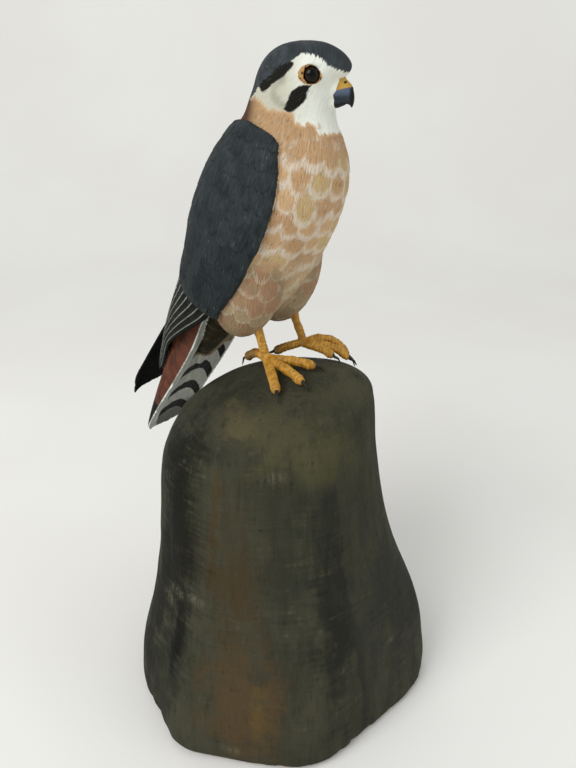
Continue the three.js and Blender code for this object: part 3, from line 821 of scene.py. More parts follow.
def far_from(starts, ends, ahead, height):
    """The distance to the nearest of some straight strokes."""
    least = np.full(len(ahead), 99.0)
    for (ax, ay), (bx, by) in zip(starts, ends):
        dx, dy = bx - ax, by - ay
        t = np.clip(((ahead - ax) * dx + (height - ay) * dy) / (dx * dx + dy * dy), 0, 1)
        least = np.minimum(least, np.hypot(ahead - ax - t * dx, height - ay - t * dy))
    return least


def inside_outline(outline, ahead, height):
    """How far inside a closed outline a place is, below zero outside it."""
    nexts = outline[1:] + outline[:1]
    inside = np.zeros(len(ahead), bool)
    for (ax, ay), (bx, by) in zip(outline, nexts):
        if ay != by:
            crosses = (ay > height) != (by > height)
            inside ^= crosses & (ahead < ax + (height - ay) / (by - ay) * (bx - ax))
    return np.where(inside, 1, -1) * far_from(outline, nexts, ahead, height)


ahead, left, height = head_frame(points)
ring_out = np.hypot(
    (ahead - EYE_RING["ahead"]) / EYE_RING["half_long"],
    (height - EYE_RING["height"]) / EYE_RING["half_tall"],
)
markings = {
    "cap": above_line(CAP_EDGE, ahead, height),
    "ear": inside_outline(EAR_STRIPE, ahead, height),
    "moustache": inside_outline(MOUSTACHE, ahead, height),
    "face": above_line(BIB_EDGE, ahead, height),
    "eye_ring": (1 - ring_out) * EYE_RING["half_tall"],
    "ear_fold": -far_from(EAR_FOLD, EAR_FOLD[1:], ahead, height),
    "cere": ahead - np.interp(height, *np.array(CERE_EDGE).T),
}
markings = {name: np.clip(value, -MARK_REACH, MARK_REACH) for name, value in markings.items()}
print("markings:", list(markings))

# %% [markdown]
# Brush strokes and burned barbs follow the lie of the feathers. Each point gets two numbers for
# that: how far across the feathers it is and how far down along them. On the head they run
# back from the bill, elsewhere they come from the region's own guides.

# %% Lie of the feathers
FLIGHT_WIDE = 45  # mm across the flight feathers
BACK, DOWN = 0.85, 0.5  # the strokes on the head run this much back for this much down

on_face = np.maximum(markings["face"], markings["cap"]) > 0
from_bill = -ahead * BACK - height * DOWN
over_head = height * BACK - ahead * DOWN + np.abs(left)
strand_across = by_region(
    np.where(on_face, over_head, np.abs(breast_across)), shield=wing_across,
    flight=flight_share * FLIGHT_WIDE, rear=tail_x, thigh=thigh_round,
)
strand_down = by_region(
    np.where(on_face, from_bill, -station), shield=-wing_station,
    flight=-flight_station, rear=-tail_station, thigh=-thigh_z,
)
print("strands from", round(float(strand_down.min())), "to", round(float(strand_down.max())))

# %% [markdown]
# The relief is now cut: every point moves along its normal by the rise of its feather, less
# so in the creases. Each eye looks out along its own line, and round that line the lid swells
# into a low ring in place of the feathers.

# %% Cut the relief
LID_RADIUS, LID_WIDTH, LID_RISE = 3.6, 0.6, 0.6  # mm
LID_BACK = -2  # mm behind the middle of the eye, where its lid ends inside the head


def along_eye_line(points, centre, looks):
    """How far out along an eye's line points are, and how far to the side of it."""
    offset = points - centre
    outward = offset @ looks
    return outward, np.linalg.norm(offset - outward[:, None] * looks, axis=1)


normals = normals_of(bird)
cut = rise * open_surface
eye_centres = {}
for name, side in (("right", -1), ("left", 1)):
    centre = on_head([EYE["ahead"]], [side * EYE["side"]], [EYE["height"]])[0]
    aim = on_head([EYE_LOOKS["ahead"]], [side * EYE_LOOKS["side"]], [EYE_LOOKS["height"]])
    looks = unit(aim - np.array([0, NECK_Y, 0]))[0]
    eye_centres[name] = (centre, looks)
    outward, from_axis = along_eye_line(points, centre, looks)
    lid = hump(from_axis - LID_RADIUS, LID_WIDTH) * (outward > LID_BACK)
    cut = cut * (1 - lid) + LID_RISE * lid
points = points + normals * cut[:, None]
print("relief from", round(float(cut.min()), 2), "to", round(float(cut.max()), 2), "mm")

# %% [markdown]
# Inside each lid the skin is pushed back onto a ball a little larger than the glass, which
# leaves a socket. The lid is bevelled down to the glass, so no dark gap shows between them.

# %% Sockets of the eyes
LID_COVER = 0.85  # mm of the glass that the lid lies over, all round
LID_BEVEL = 0.6  # how steeply the lid rises away from the glass

socket = EYE["radius"] + EYE["gap"]
rim = socket - LID_COVER
for centre, looks in eye_centres.values():
    outward, from_axis = along_eye_line(points, centre, looks)
    from_rim = from_axis - rim
    back_of_ball = -np.sqrt(np.maximum(socket**2 - from_axis**2, 0))
    bevel = math.sqrt(socket**2 - rim**2) + LID_BEVEL * from_rim
    moved = np.where(from_rim < 0, back_of_ball, np.minimum(outward, bevel)) - outward
    beside = (from_axis < 2 * socket) & (outward > np.where(from_rim < 0, -2 * socket, 0))
    beside &= outward < 2 * socket
    points = points + np.where(beside, moved, 0)[:, None] * looks
put_points(bird, points * MM)
print("sockets:", len(eye_centres))

# %% [markdown]
# The shader reads what was worked out above from attributes: one number for each point of the
# mesh, by name. They travel with the mesh, so the paint stays where it was put.

# %% Attributes for the paint
# The coverts end on a slanting line across the underside of the tail
COVERTS_END, COVERTS_SLANT, COVERTS_FROM = 198, 0.1, -9
VENT_REACH = 9  # mm, beyond which the distance to that line says no more


def write_attribute(piece, name, values):
    attribute = piece.data.attributes.new(name, "FLOAT", "POINT")
    attribute.data.foreach_set("value", np.asarray(values, np.float32))


vent = tail_station - COVERTS_END - COVERTS_SLANT * (points[:, 0] - COVERTS_FROM)
near_side = near["right flight"][0] < near["left flight"][0]
written = {
    **region, **markings, "across": strand_across, "down": strand_down, "fringe": fringe,
    "tone": tone, "crease": crease, "blade": blade, "near_wing": near_side,
    "tail_side": tail_share, "tail_back": tail_back, "tail_wave": tail_wave,
    "tail_down": tail_station, "off_middle": points[:, 0],
    "vent": np.clip(vent, -VENT_REACH, VENT_REACH), "ahead": ahead, "height": height,
    "station": station, "aside": np.abs(left),
}
for name, values in written.items():
    write_attribute(bird, name, values)
select_only(bird)
bpy.ops.object.shade_smooth()
print("attributes:", len(written))

# %% [markdown]
# Where a solid is already true in shape, the piece that replaces it starts as a copy of it. A
# copy's triangles are loose, so its doubled points are merged before anything else is done.

# %% Copies of the solids
MERGED = 0.02  # mm


def copy_of_node(node, name):
    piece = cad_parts[node].copy()
    piece.data = piece.data.copy()
    piece.name = name
    piece.parent = None
    for key in list(piece.keys()):
        del piece[key]
    piece.data.materials.clear()
    bpy.context.collection.objects.link(piece)
    piece.hide_render = False
    select_only(piece)
    bpy.ops.object.mode_set(mode="EDIT")
    bpy.ops.mesh.select_all(action="SELECT")
    bpy.ops.mesh.remove_doubles(threshold=MERGED * MM)
    bpy.ops.object.mode_set(mode="OBJECT")
    return piece


print("solids to copy:", [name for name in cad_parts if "leg" in name or "stump" in name])

# %% [markdown]
# The legs are true in shape, so each is a copy of its solid. It is remeshed finely and
# smoothed, which turns the flat-sided tubes into round toes. Rings of scales are then cut across
# the toes and the shank, and low lumps make the knuckles. The claws past the tips stay smooth.

# %% Legs
LEG_GRAIN = 0.38  # mm
LEG_STROKES = 8
# Where each shank stands and where its toes end, as (x, y)
FOOT = {"right": (-14.2, 0.5), "left": (16.3, -0.8)}
TOE_TIPS = {
    "right": [(-30.6, -19.5), (-18, -26), (-1.1, -21.6), (-10.4, 17.5)],
    "left": [(17.5, -20), (27.5, -23.5), (36.5, -17), (4, 10.5)],
}
CLAW_OVERLAP, CLAW_REACH = 0.3, 3.0  # mm back over the toe, and to each side of its line
SCUTE_LONG, SCUTE_DEEP, SCUTE_LEVEL = 1.9, 0.36, 0.7  # mm, mm, and the height that isn't moved
SCUTE_WANDER, KNUCKLE, SWELL = 0.5, 0.3, 0.12  # mm
ON_TOES = (2.5, 5)  # mm from the shank, where the rings turn to run across the toes


def claw_depth(spots, foot, tips):
    """How far past the end of a toe each point is, below zero on the toe itself."""
    past = np.full(len(spots), -9.0)
    for tip in np.array(tips):
        line = (tip - foot) / np.linalg.norm(tip - foot)
        offset = spots[:, :2] - tip
        beside = np.abs(offset[:, 0] * line[1] - offset[:, 1] * line[0])
        past = np.maximum(past, np.minimum(offset @ line + CLAW_OVERLAP, CLAW_REACH - beside))
    return past


legs = {}
for name, foot in FOOT.items():
    leg = copy_of_node(f"leg_{name}", f"{name}_leg")
    apply_modifier(leg, "REMESH", mode="VOXEL", voxel_size=LEG_GRAIN * MM)
    apply_modifier(leg, "SMOOTH", factor=0.5, iterations=LEG_STROKES)
    spots = points_of(leg) / MM
    out = np.hypot(*(spots[:, :2] - foot).T)
    claw = claw_depth(spots, np.array(foot), TOE_TIPS[name])
    ring = mix(out, spots[:, 2], 1 - ramp(out, *ON_TOES)) + SCUTE_WANDER * lumps(spots, 4, 31)
    scute = np.abs(np.sin(ring * math.pi / SCUTE_LONG)) ** 0.5
    swell = SWELL + SCUTE_DEEP * (scute - SCUTE_LEVEL) + KNUCKLE * lumps(spots, 3.6, 32)
    spots = spots + normals_of(leg) * np.where(claw > 0, 0, swell)[:, None]
    put_points(leg, spots * MM)
    write_attribute(leg, "scute", scute)
    write_attribute(leg, "claw", claw)
    write_attribute(leg, "behind", spots[:, 1])
    select_only(leg)
    bpy.ops.object.shade_smooth()
    legs[name] = leg
print("legs:", [len(leg.data.vertices) for leg in legs.values()])

# %% [markdown]
# The eyes are balls of glass set in the sockets. A fine sphere is enough, because all that the
# glass shows is its gloss and the rings of colour under it. The distance from the pupil's
# middle is written on each ball, and the shader paints the iris from it.

# %% Eyes
BEHIND = 9  # mm, written on the back half of a ball

eyes = {}
for name, (centre, looks) in eye_centres.items():
    bpy.ops.object.select_all(action="DESELECT")
    bpy.ops.mesh.primitive_uv_sphere_add(segments=64, ring_count=40, radius=EYE["radius"] * MM)
    eye = bpy.context.object
    eye.name = f"{name}_eye"
    ball = points_of(eye) + centre * MM
    put_points(eye, ball)
    outward, from_axis = along_eye_line(ball / MM, centre, looks)
    write_attribute(eye, "from_pupil", np.where(outward > 0, from_axis, BEHIND))
    bpy.ops.object.shade_smooth()
    eyes[name] = eye
print("eyes:", list(eyes))

# %% [markdown]
# The stump is a copy of its solid too. Its faces are made four-sided, subdivided so that the
# sides turn smoothly, and then worked over: broad waves where the gouge followed the grain,
# upright ripples, small flats, and a rim that is nibbled at the foot. The underside stays flat,
# and the top is left calm, because the feet stand on it.

# %% Stump
STUMP_LEVELS = 3
SAME_FACE = math.radians(60)  # two triangles become one face if they meet at less than this
# Each kind of cut: mm deep, the size of its lumps in mm, its own random number
WAVES, RIPPLES, FLATS = (1.2, (24, 24, 80), 21), (0.6, (7, 7, 60), 22), (0.3, (9, 9, 14), 23)
NIBBLE_DEEP, NIBBLE_SIZE = 2.6, (4.5, 4.5, 7)  # mm
NIBBLE_LEVEL = 0.05  # lumps above this are bitten away
NIBBLE_ENDS = (-9, -1)  # heights below zero, over which the nibbles fade upwards
CUTS_START = (0.6, 5)  # heights over which the other cuts begin
TOP_CALM, TOP_STARTS = 0.75, (188, 200)  # the share of the cuts that the top loses, and where

stump = copy_of_node("stump_base", "carved_stump")
bpy.ops.object.mode_set(mode="EDIT")
bpy.ops.mesh.select_all(action="SELECT")
bpy.ops.mesh.tris_convert_to_quads(face_threshold=SAME_FACE, shape_threshold=SAME_FACE)
bpy.ops.object.mode_set(mode="OBJECT")
apply_modifier(stump, "SUBSURF", levels=STUMP_LEVELS, render_levels=STUMP_LEVELS)
spots = points_of(stump) / MM
normals = normals_of(stump)
on_sides = 1 - np.abs(normals[:, 2])
waves, ripples, flats = [
    deep * lumps(spots, size, seed) for deep, size, seed in (WAVES, RIPPLES, FLATS)
]
free = ramp(spots[:, 2], *CUTS_START) * (1 - TOP_CALM * ramp(spots[:, 2], *TOP_STARTS))
bites = np.maximum(lumps(spots, NIBBLE_SIZE, 24) - NIBBLE_LEVEL, 0)
nibbles = NIBBLE_DEEP * bites * ramp(-spots[:, 2], *NIBBLE_ENDS)
depth = (waves * on_sides + ripples * on_sides + flats) * free - nibbles * on_sides
spots = spots + normals * depth[:, None]
spots[:, 2] = np.maximum(spots[:, 2], 0)
put_points(stump, spots * MM)
select_only(stump)
bpy.ops.object.shade_smooth()
print("stump:", len(spots), "points")

# %% [markdown]
# Paint is mixed from nodes. A `Mark` wraps the output of a node, so that arithmetic on marks
# adds the Math nodes by itself, and a recipe for paint reads like a sum.

# %% Marks
class Mark:
    """A number that varies over a surface. Arithmetic on it adds Math nodes."""

    def __init__(self, paint, socket):
        self.paint, self.socket = paint, socket

    def _math(self, operation, *values):
        settings = {"operation": operation}
        return self.paint.node("ShaderNodeMath", settings, dict(enumerate(values)))

    def __add__(self, other):
        return self._math("ADD", self, other)

    def __sub__(self, other):
        return self._math("SUBTRACT", self, other)

    def __rsub__(self, other):
        return self._math("SUBTRACT", other, self)

    def __mul__(self, other):
        return self._math("MULTIPLY", self, other)

    __radd__, __rmul__ = __add__, __mul__

    def cosine(self):
        return self._math("COSINE", self)

    def fraction(self):
        return self._math("FRACT", self)

    def size(self):
        return self._math("ABSOLUTE", self)

    def either(self, other):
        return self._math("MAXIMUM", self, other)

    def step(self, low, high):
        """0 below low and 1 above high, or the other way round, and smooth between."""
        settings = {"interpolation_type": "SMOOTHSTEP", "clamp": True}
        sockets = {"Value": self, "From Min": low, "From Max": high}
        if low > high:
            sockets.update({"From Min": high, "From Max": low, "To Min": 1.0, "To Max": 0.0})
        return self.paint.node("ShaderNodeMapRange", settings, sockets)


print("marks ready")

# %% [markdown]
# `Paint` holds one material and the few kinds of node that every paint here uses: numbers read
# from the mesh, noise in even or stretched lumps, one colour laid over another, and a bump.

# %% Paint kit
NOISE_MIDDLE, NOISE_SPREAD = 0.5, 4.5  # bring Blender's noise to about -1 to 1


class Paint:
    """One material and the nodes that it is mixed from."""

    def __init__(self, name, **plain):
        self.material = bpy.data.materials.new(name)
        self.material.use_nodes = True
        self.tree = self.material.node_tree
        self.shader = self.tree.nodes["Principled BSDF"]
        for socket, value in plain.items():
            self.shader.inputs[socket.replace("_", " ")].default_value = value
        self.place = self.node("ShaderNodeTexCoord", out="Object")

    def node(self, kind, settings=None, sockets=None, out=0):
        made = self.tree.nodes.new(kind)
        for key, value in (settings or {}).items():
            setattr(made, key, value)
        for key, value in (sockets or {}).items():
            self.feed(made.inputs[key], value)
        return Mark(self, made.outputs[out])

    def feed(self, socket, value):
        if isinstance(value, Mark):
            self.tree.links.new(value.socket, socket)
        else:
            socket.default_value = value

    def read(self, name):
        return self.node("ShaderNodeAttribute", {"attribute_name": name}, out="Fac")

    def noise(self, scale, where=None, detail=2.0, rough=0.5):
        """Noise from about -1 to 1. Scale is lumps to a metre, or to a unit of `where`."""
        sockets = {"Vector": where or self.place, "Scale": scale, "Detail": detail, "Roughness": rough}
        return (self.node("ShaderNodeTexNoise", None, sockets) - NOISE_MIDDLE) * NOISE_SPREAD

    def strands(self, across, down):
        """Coordinates that stretch a pattern along the feathers."""
        sockets = {"X": self.read("across") * across, "Y": self.read("down") * down}
        return self.node("ShaderNodeCombineXYZ", None, sockets)

    def stretched(self, x, y, z):
        sockets = {"Vector": self.place, "Scale": (x, y, z)}
        return self.node("ShaderNodeMapping", None, sockets)

    def over(self, below, above, mask):
        """The colour above laid over the colour below where the mask is 1."""
        settings = {"data_type": "RGBA", "clamp_factor": True}
        return self.node("ShaderNodeMix", settings, {0: mask, 6: below, 7: above}, out=2)

    def bump(self, height, distance, strength=1.0):
        sockets = {"Height": height, "Distance": distance * MM, "Strength": strength}
        self.feed(self.shader.inputs["Normal"], self.node("ShaderNodeBump", None, sockets))

    def finish(self, base, roughness):
        self.feed(self.shader.inputs["Base Color"], base)
        self.feed(self.shader.inputs["Roughness"], roughness)
        return self.material


print("paint kit ready")

# %% [markdown]
# A painter picks a colour, and here it is written as a #rrggbb code. A shader adds up
# light, so the code is turned into the linear colour that it works with.

# %% Colours
def colour(code):
    """A #rrggbb code as the linear colour that a shader takes."""
    channels = [int(code[k : k + 2], 16) / 255 for k in (1, 3, 5)]
    return [c / 12.92 if c < 0.04045 else ((c + 0.055) / 1.055) ** 2.4 for c in channels] + [1.0]


print("a middle grey is", round(colour("#808080")[0], 2))

# %% [markdown]
# A finished piece gets its paint and the body that it moves with, and the solids that it
# stands for are hidden. Nothing on this carving moves, so all pieces ride on the root.

# %% Dressing a piece
def dress(piece, material, slot, *nodes):
    piece.data.materials.clear()
    piece.data.materials.append(material)
    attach(piece, "root")
    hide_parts(*nodes)


print("pieces to hand over:", 1 + len(legs) + len(eyes) + 1)

# %% [markdown]
# The bird's paint is built from small recipes, one for each part, which are laid over each other
# at the end. All of them share three noises: `fine` and `hair` run along the feathers, and
# `coarse` is even. The body is tan and ochre with a pale edge to each feather. It turns to plain
# red-brown on the back. The thighs are duller.

# %% Body and thigh paint
def body_paint(p, fine, hair, coarse):
    tone, station = p.read("tone"), p.read("station")
    tan = p.over(colour("#cda97e"), colour("#bd9870"), tone.step(0.1, 0.4))
    tan = p.over(tan, colour("#c5a97b"), tone.step(0.6, 0.85))
    tan = p.over(tan, colour("#c2ab86"), station.step(290, 250))
    tan = p.over(tan, colour("#8d6c4a"), (hair * 0.5 + fine * 0.3 + coarse * 0.3).step(0.0, 0.9) * 0.6)
    pale = p.over(colour("#e0d5c4"), colour("#cfc4ae"), station.step(290, 255))
    edge = (p.read("fringe") * 1.1 + fine * 0.3 + hair * 0.25 + coarse * 0.45).step(0.2, 1.1)
    base = p.over(tan, pale, edge * 0.74)
    base = p.over(base, colour("#7a6446"), (p.noise(520, detail=3) + hair * 0.4).step(0.4, 1.1) * 0.45)
    base = p.over(base, colour("#e6ddcf"), (hair * -0.8 - coarse * 0.4).step(0.3, 1.0) * 0.45)
    # A dark brown band on the body just outside the lower front edge of the wing is painted shadow of the
    # raised wing.
    wing_edge_shadow = p.read("shield").step(-3.6, -1.0) * station.step(318, 306)
    base = p.over(base, colour("#5f4628"), wing_edge_shadow * (fine * 0.6 + hair * 0.5).step(-0.2, 0.6) * 0.7)
    back = p.read("ahead").step(-6, -14) * station.step(345, 335)
    return p.over(base, colour("#5c3a28"), back)


def thigh_paint(p, fine, hair, coarse):
    tan = p.over(colour("#a38f6f"), colour("#947e60"), p.read("tone").step(0.1, 0.5))
    tan = p.over(tan, colour("#a17f62"), (p.read("tone") + coarse * 0.2).step(0.6, 0.9))
    edge = (p.read("fringe") * 1.1 + fine * 0.4 + coarse * 0.5).step(0.3, 1.2)
    tan = p.over(tan, colour("#bcb098"), edge * 0.6)
    return p.over(tan, colour("#6f5a3c"), (hair * 0.55 + fine * 0.35 + coarse * 0.2).step(0.1, 0.9) * 0.6)


print("body and thigh paint ready")

# %% [markdown]
# The top of the tail is red-brown with a black end. Its underside is white with black bars,
# which droop a little to both sides. Along its right edge runs a plain white strip, and the
# olive coverts lie over its upper end. Their right flank is dark, partly as painted shade, and
# their lower edge and middle are tan, partly as painted light on their ridge.

# %% Tail paint
BAR_TOP, BAR_STEP, BAR_DROP = 203.9, 16.9, 0.038  # mm up, mm apart, drop for each mm squared
BAR_SHARE = 0.32  # a bar shows where the wave is above this
STRIP_TOP, STRIP_SHARE = 1.8, -0.6  # the white strip's upper edge in mm, its lower as a share


def coverts_paint(p, fine):
    # The olive is dark partly as painted shade on the flank. The tan band along the vent line and past the
    # middle is partly painted light on the ridge.
    worn = (p.read("fringe") * 0.6 + fine * 0.5).step(0.0, 0.8)
    olive = p.over(colour("#2c2817"), colour("#484026"), worn)
    low_band = (p.read("vent") + fine * 0.8).step(2.6, 1.0)
    tan_and_lit_band = low_band.either((p.read("off_middle") + fine).step(-3.5, -1.5))
    return p.over(olive, colour("#9c8461"), tan_and_lit_band * 0.85)


def tail_paint(p, fine):
    side, back, wave, down = (p.read(f"tail_{key}") for key in ("side", "back", "wave", "down"))
    rufous = p.over(colour("#663b2b"), colour("#4a2b20"), fine.step(-0.5, 0.7))
    rufous = p.over(rufous, colour("#161411"), (down + fine * 0.4).step(162.5, 160.5))
    white = p.over(colour("#d5d8cd"), colour("#ebede5"), fine.step(-0.6, 0.8))
    off_middle = p.read("off_middle")
    from_bar = down + off_middle * off_middle * BAR_DROP - BAR_TOP
    bars = (from_bar * (TURN / BAR_STEP) + fine * 0.12).cosine()
    under = p.over(colour("#bfc3b8"), colour("#d8dbd2"), fine.step(-0.5, 0.8))
    under = p.over(under, colour("#55564e"), down.step(158, 146) * 0.8)
    under = p.over(under, colour("#151612"), bars.step(BAR_SHARE - 0.12, BAR_SHARE + 0.12))
    strip = back.step(STRIP_TOP + 0.3, STRIP_TOP - 0.3).either(wave.step(0.05, -0.05))
    base = p.over(rufous, white, strip)
    flat = wave.step(0.02, -0.1) * side.step(STRIP_SHARE - 0.02, STRIP_SHARE + 0.02)
    flat = flat * side.step(0.97, 0.93)
    base = p.over(base, under, flat)
    below = (p.read("vent") + fine * 0.5).step(-0.4, 0.4) * flat.either(p.read("coverts").step(-0.1, 0.1))
    return p.over(base, coverts_paint(p, fine), below)


print("tail paint ready")

# %% [markdown]
# The wings are slate, darker towards their lower end and round every feather. The flight
# feathers are black, and on the right wing each has a thin pale edge.

# %% Wing paint
def wing_paint(p, fine, hair, coarse):
    slate = p.over(colour("#272c2e"), colour("#383f42"), (fine * 0.5 + coarse * 0.4).step(-0.6, 0.7))
    slate = p.over(slate, colour("#151b1e"), p.read("down").step(-310, -240) * 0.75)
    slate = p.over(slate, colour("#3c4447"), p.read("tone").step(0.3, 1.0) * 0.3)
    slate = p.over(slate, colour("#0f1315"), (p.read("fringe") * 0.9 + fine * 0.4).step(0.3, 1.0) * 0.7)
    slate = p.over(slate, colour("#101416"), (hair * 0.6 + fine * 0.4).step(0.2, 1.0) * 0.65)
    return p.over(slate, colour("#646d6b"), (hair * -0.7 + coarse * 0.5).step(0.35, 1.1) * 0.5)


def flight_paint(p, fine):
    black = p.over(colour("#10100e"), colour("#20211c"), fine.step(0.0, 0.9))
    line = (p.read("blade").fraction() + fine * 0.012).step(0.19, 0.11) * p.read("near_wing")
    return p.over(black, colour("#8d9188"), line * (fine * 0.3 + 0.85))


print("wing paint ready")

# %% [markdown]
# The face is white, greyer towards the nape, with two black stripes and a grey cap. Each edge
# is a marking's zero, shaken a little by the fine strands, so that it looks brushed. A ring of
# speckled tan skin surrounds the eye, with a dark rim against the glass. The bill is yellow at
# its root, then blue-grey horn with a black tip.

# %% Head and bill paint
NOSTRIL = (28.8, 344.9)  # ahead, height
HORN_SLOPE, HORN_START = 0.25, 335.2  # the line between the yellow skin and the horn
DARK_RIM = (3.65, 3.4)  # mm from the line of an eye, where the dark rim begins and is full


def off_eye_line(p, centre, looks):
    """How far a point is from the line along which an eye looks, in mm."""
    offset = p.node("ShaderNodeVectorMath", {"operation": "SUBTRACT"}, {0: p.place, 1: tuple(centre * MM)})
    across = p.node("ShaderNodeVectorMath", {"operation": "CROSS_PRODUCT"}, {0: offset, 1: tuple(looks)})
    return p.node("ShaderNodeVectorMath", {"operation": "LENGTH"}, {0: across}, out="Value") * (1 / MM)


def bill_paint(p, coarse):
    ahead, height = p.read("ahead"), p.read("height")
    cere = p.over(colour("#c29a48"), colour("#a37d36"), coarse.step(-0.3, 0.7))
    nostril = ((ahead - NOSTRIL[0]).size() + (height - NOSTRIL[1]).size()).step(0.95, 0.55)
    cere = p.over(cere, colour("#1d160c"), nostril * p.read("aside").step(1.0, 1.5))
    horn = p.over(colour("#576478"), colour("#333b42"), (height + coarse * 0.8).step(341.2, 338.2))
    horn = p.over(horn, colour("#1c1b1c"), (ahead.step(30.4, 31.4)).either(height.step(338, 335.5)))
    return p.over(cere, horn, (height - ahead * HORN_SLOPE - HORN_START).step(0.25, -0.25))


def head_paint(p, base, fine, hair, coarse):
    speck = p.noise(900, detail=1)
    white = p.over(colour("#c0beac"), colour("#e7e9df"), p.read("ahead").step(4, 18))
    white = p.over(white, colour("#b3b1a3"), (hair * 0.5 + coarse * 0.5).step(0.1, 1.1) * 0.4)
    # A grey arc along the ear fold is painted shadow of a groove that the relief does not cut.
    ear_fold_shade = (p.read("ear_fold") + fine * 0.6).step(-2.8, 0.0)
    white = p.over(white, colour("#77766a"), ear_fold_shade * 0.4)
    cap = p.over(colour("#2c3134"), colour("#43494d"), (hair * 0.5 + coarse * 0.4).step(-0.6, 0.8))
    cap = p.over(cap, colour("#5d646a"), (hair * -0.8 - fine * 0.3).step(0.3, 1.2) * 0.5)
    black = p.over(colour("#171612"), colour("#37352c"), hair.step(0.3, 1.2))
    shake = hair * 0.8 + fine * 0.4 + speck * 0.3
    on_body = 1 - p.read("shield").step(-0.4, 0.4)
    barbs = p.noise(1.0, p.stretched(700, 700, 190), detail=2)
    base = p.over(base, white, (p.read("face") + barbs * 1.2).step(-1.0, 1.0) * on_body)
    base = p.over(base, black, (p.read("ear") + shake * 0.4).step(-0.5, 0.3))
    base = p.over(base, black, (p.read("moustache") + shake * 0.4).step(-0.5, 0.3))
    base = p.over(base, cap, (p.read("cap") + shake * 0.8).step(-0.4, 0.4))
    ring = p.over(colour("#ba905a"), colour("#3f2c14"), (speck + coarse * 0.4).step(0.1, 0.7) * 0.85)
    for centre, looks in eye_centres.values():
        ring = p.over(ring, colour("#1a1209"), off_eye_line(p, centre, looks).step(*DARK_RIM))
    base = p.over(base, ring, (p.read("eye_ring") + hair * 0.25).step(-0.2, 0.2))
    on_bill = p.read("bill").step(-0.15, 0.15) * p.read("cere").step(-0.25, 0.25)
    return p.over(base, bill_paint(p, coarse), on_bill)


print("head paint ready")

# %% [markdown]
# Now the recipes are laid in the order in which a painter works from the large to the small:
# body, thighs, tail, flight feathers and wings, a line of painted shade in the creases, and last the head.
# The two noises that follow the feathers are calmed where their direction changes at once.

# %% Bird paint
FINE_STRANDS, HAIR_STRANDS = (0.75, 0.16), (1.7, 0.24)  # how many to a mm, across and along
CALMED = (0.7, 1.5)  # mm from a line where the feathers change direction


def make_bird_paint():
    p = Paint("feather paint", Specular_IOR_Level=0.12)
    calm = p.read("face").size().step(*CALMED) * p.read("thigh").size().step(*CALMED)
    fine = p.noise(1.0, p.strands(*FINE_STRANDS), detail=3) * calm
    hair = p.noise(1.0, p.strands(*HAIR_STRANDS), detail=2) * calm
    coarse = p.noise(150, detail=3)
    base = body_paint(p, fine, hair, coarse)
    on_thigh = (p.read("thigh") + coarse * 1.5).step(-3.5, 2.5)
    base = p.over(base, thigh_paint(p, fine, hair, coarse), on_thigh)
    base = p.over(base, tail_paint(p, fine), p.read("rear").step(-0.15, 0.15))
    base = p.over(base, flight_paint(p, fine), p.read("flight").step(-0.15, 0.15))
    on_wing = (p.read("shield") + fine * 0.3).step(-0.25, 0.25)
    base = p.over(base, wing_paint(p, fine, hair, coarse), on_wing)
    # A dark line of painted shade runs along the creases between forms, away from the white face.
    gap = p.read("crease").step(0.5, 0.0) * p.read("face").step(0.5, -0.5)
    base = p.over(base, colour("#15120c"), gap * 0.5)
    base = head_paint(p, base, fine, hair, coarse)
    smooth_face = 1 - p.read("face").step(0.2, 1.5) * 0.5
    p.bump((hair * 0.5 + fine * 0.4) * smooth_face + coarse * 0.15, 0.4, 1.0)
    return p.finish(base, 0.68 - fine * 0.05 - p.read("bill").step(0, 1) * 0.25)


dress(bird, make_bird_paint(), "bird_wood", "kestrel")
print("bird painted")

# %% [markdown]
# The legs are yellow, browner in the rings between the scales and at the back, with thin black
# claws. The eyes are dark brown glass with a black pupil and a high polish.

# %% Leg paint and eye glass
def make_leg_paint():
    p = Paint("yellow leg paint", Specular_IOR_Level=0.35)
    mottle = p.noise(420, detail=3)
    base = p.over(colour("#a87626"), colour("#c79638"), mottle.step(-0.5, 0.7))
    base = p.over(base, colour("#745020"), p.read("scute").step(0.65, 0.15) * 0.85)
    base = p.over(base, colour("#5f4c2a"), (p.read("behind") + mottle).step(4, 9) * 0.7)
    base = p.over(base, colour("#14130f"), p.read("claw").step(-0.15, 0.15))
    p.bump(mottle, 0.1, 0.6)
    return p.finish(base, 0.5 + mottle * 0.08)


def make_eye_glass():
    p = Paint("brown eye glass", Specular_IOR_Level=0.18)
    out = p.read("from_pupil")
    iris = p.over(colour("#22160a"), colour("#120b05"), p.noise(1500).step(-0.3, 0.6))
    base = p.over(colour("#020202"), iris, out.step(1.7, 2.1))
    base = p.over(base, colour("#0c0805"), out.step(2.7, 3.1))
    return p.finish(base, 0.07)


leg_paint, eye_glass = make_leg_paint(), make_eye_glass()
for name in ("right", "left"):
    dress(legs[name], leg_paint, "leg_paint", f"leg_{name}")
    dress(eyes[name], eye_glass, "eye_glass", f"eye_{name}")
print("legs and eyes painted")

# %% [markdown]
# The stump was stained in dark oils, rubbed into each other. Spots of another colour say where:
# charcoal down the left side and in runs on the right, rusty brown down the front, and an olive
# bloom on the top, all placed after the photo. A few spots stand for pale scuffs.

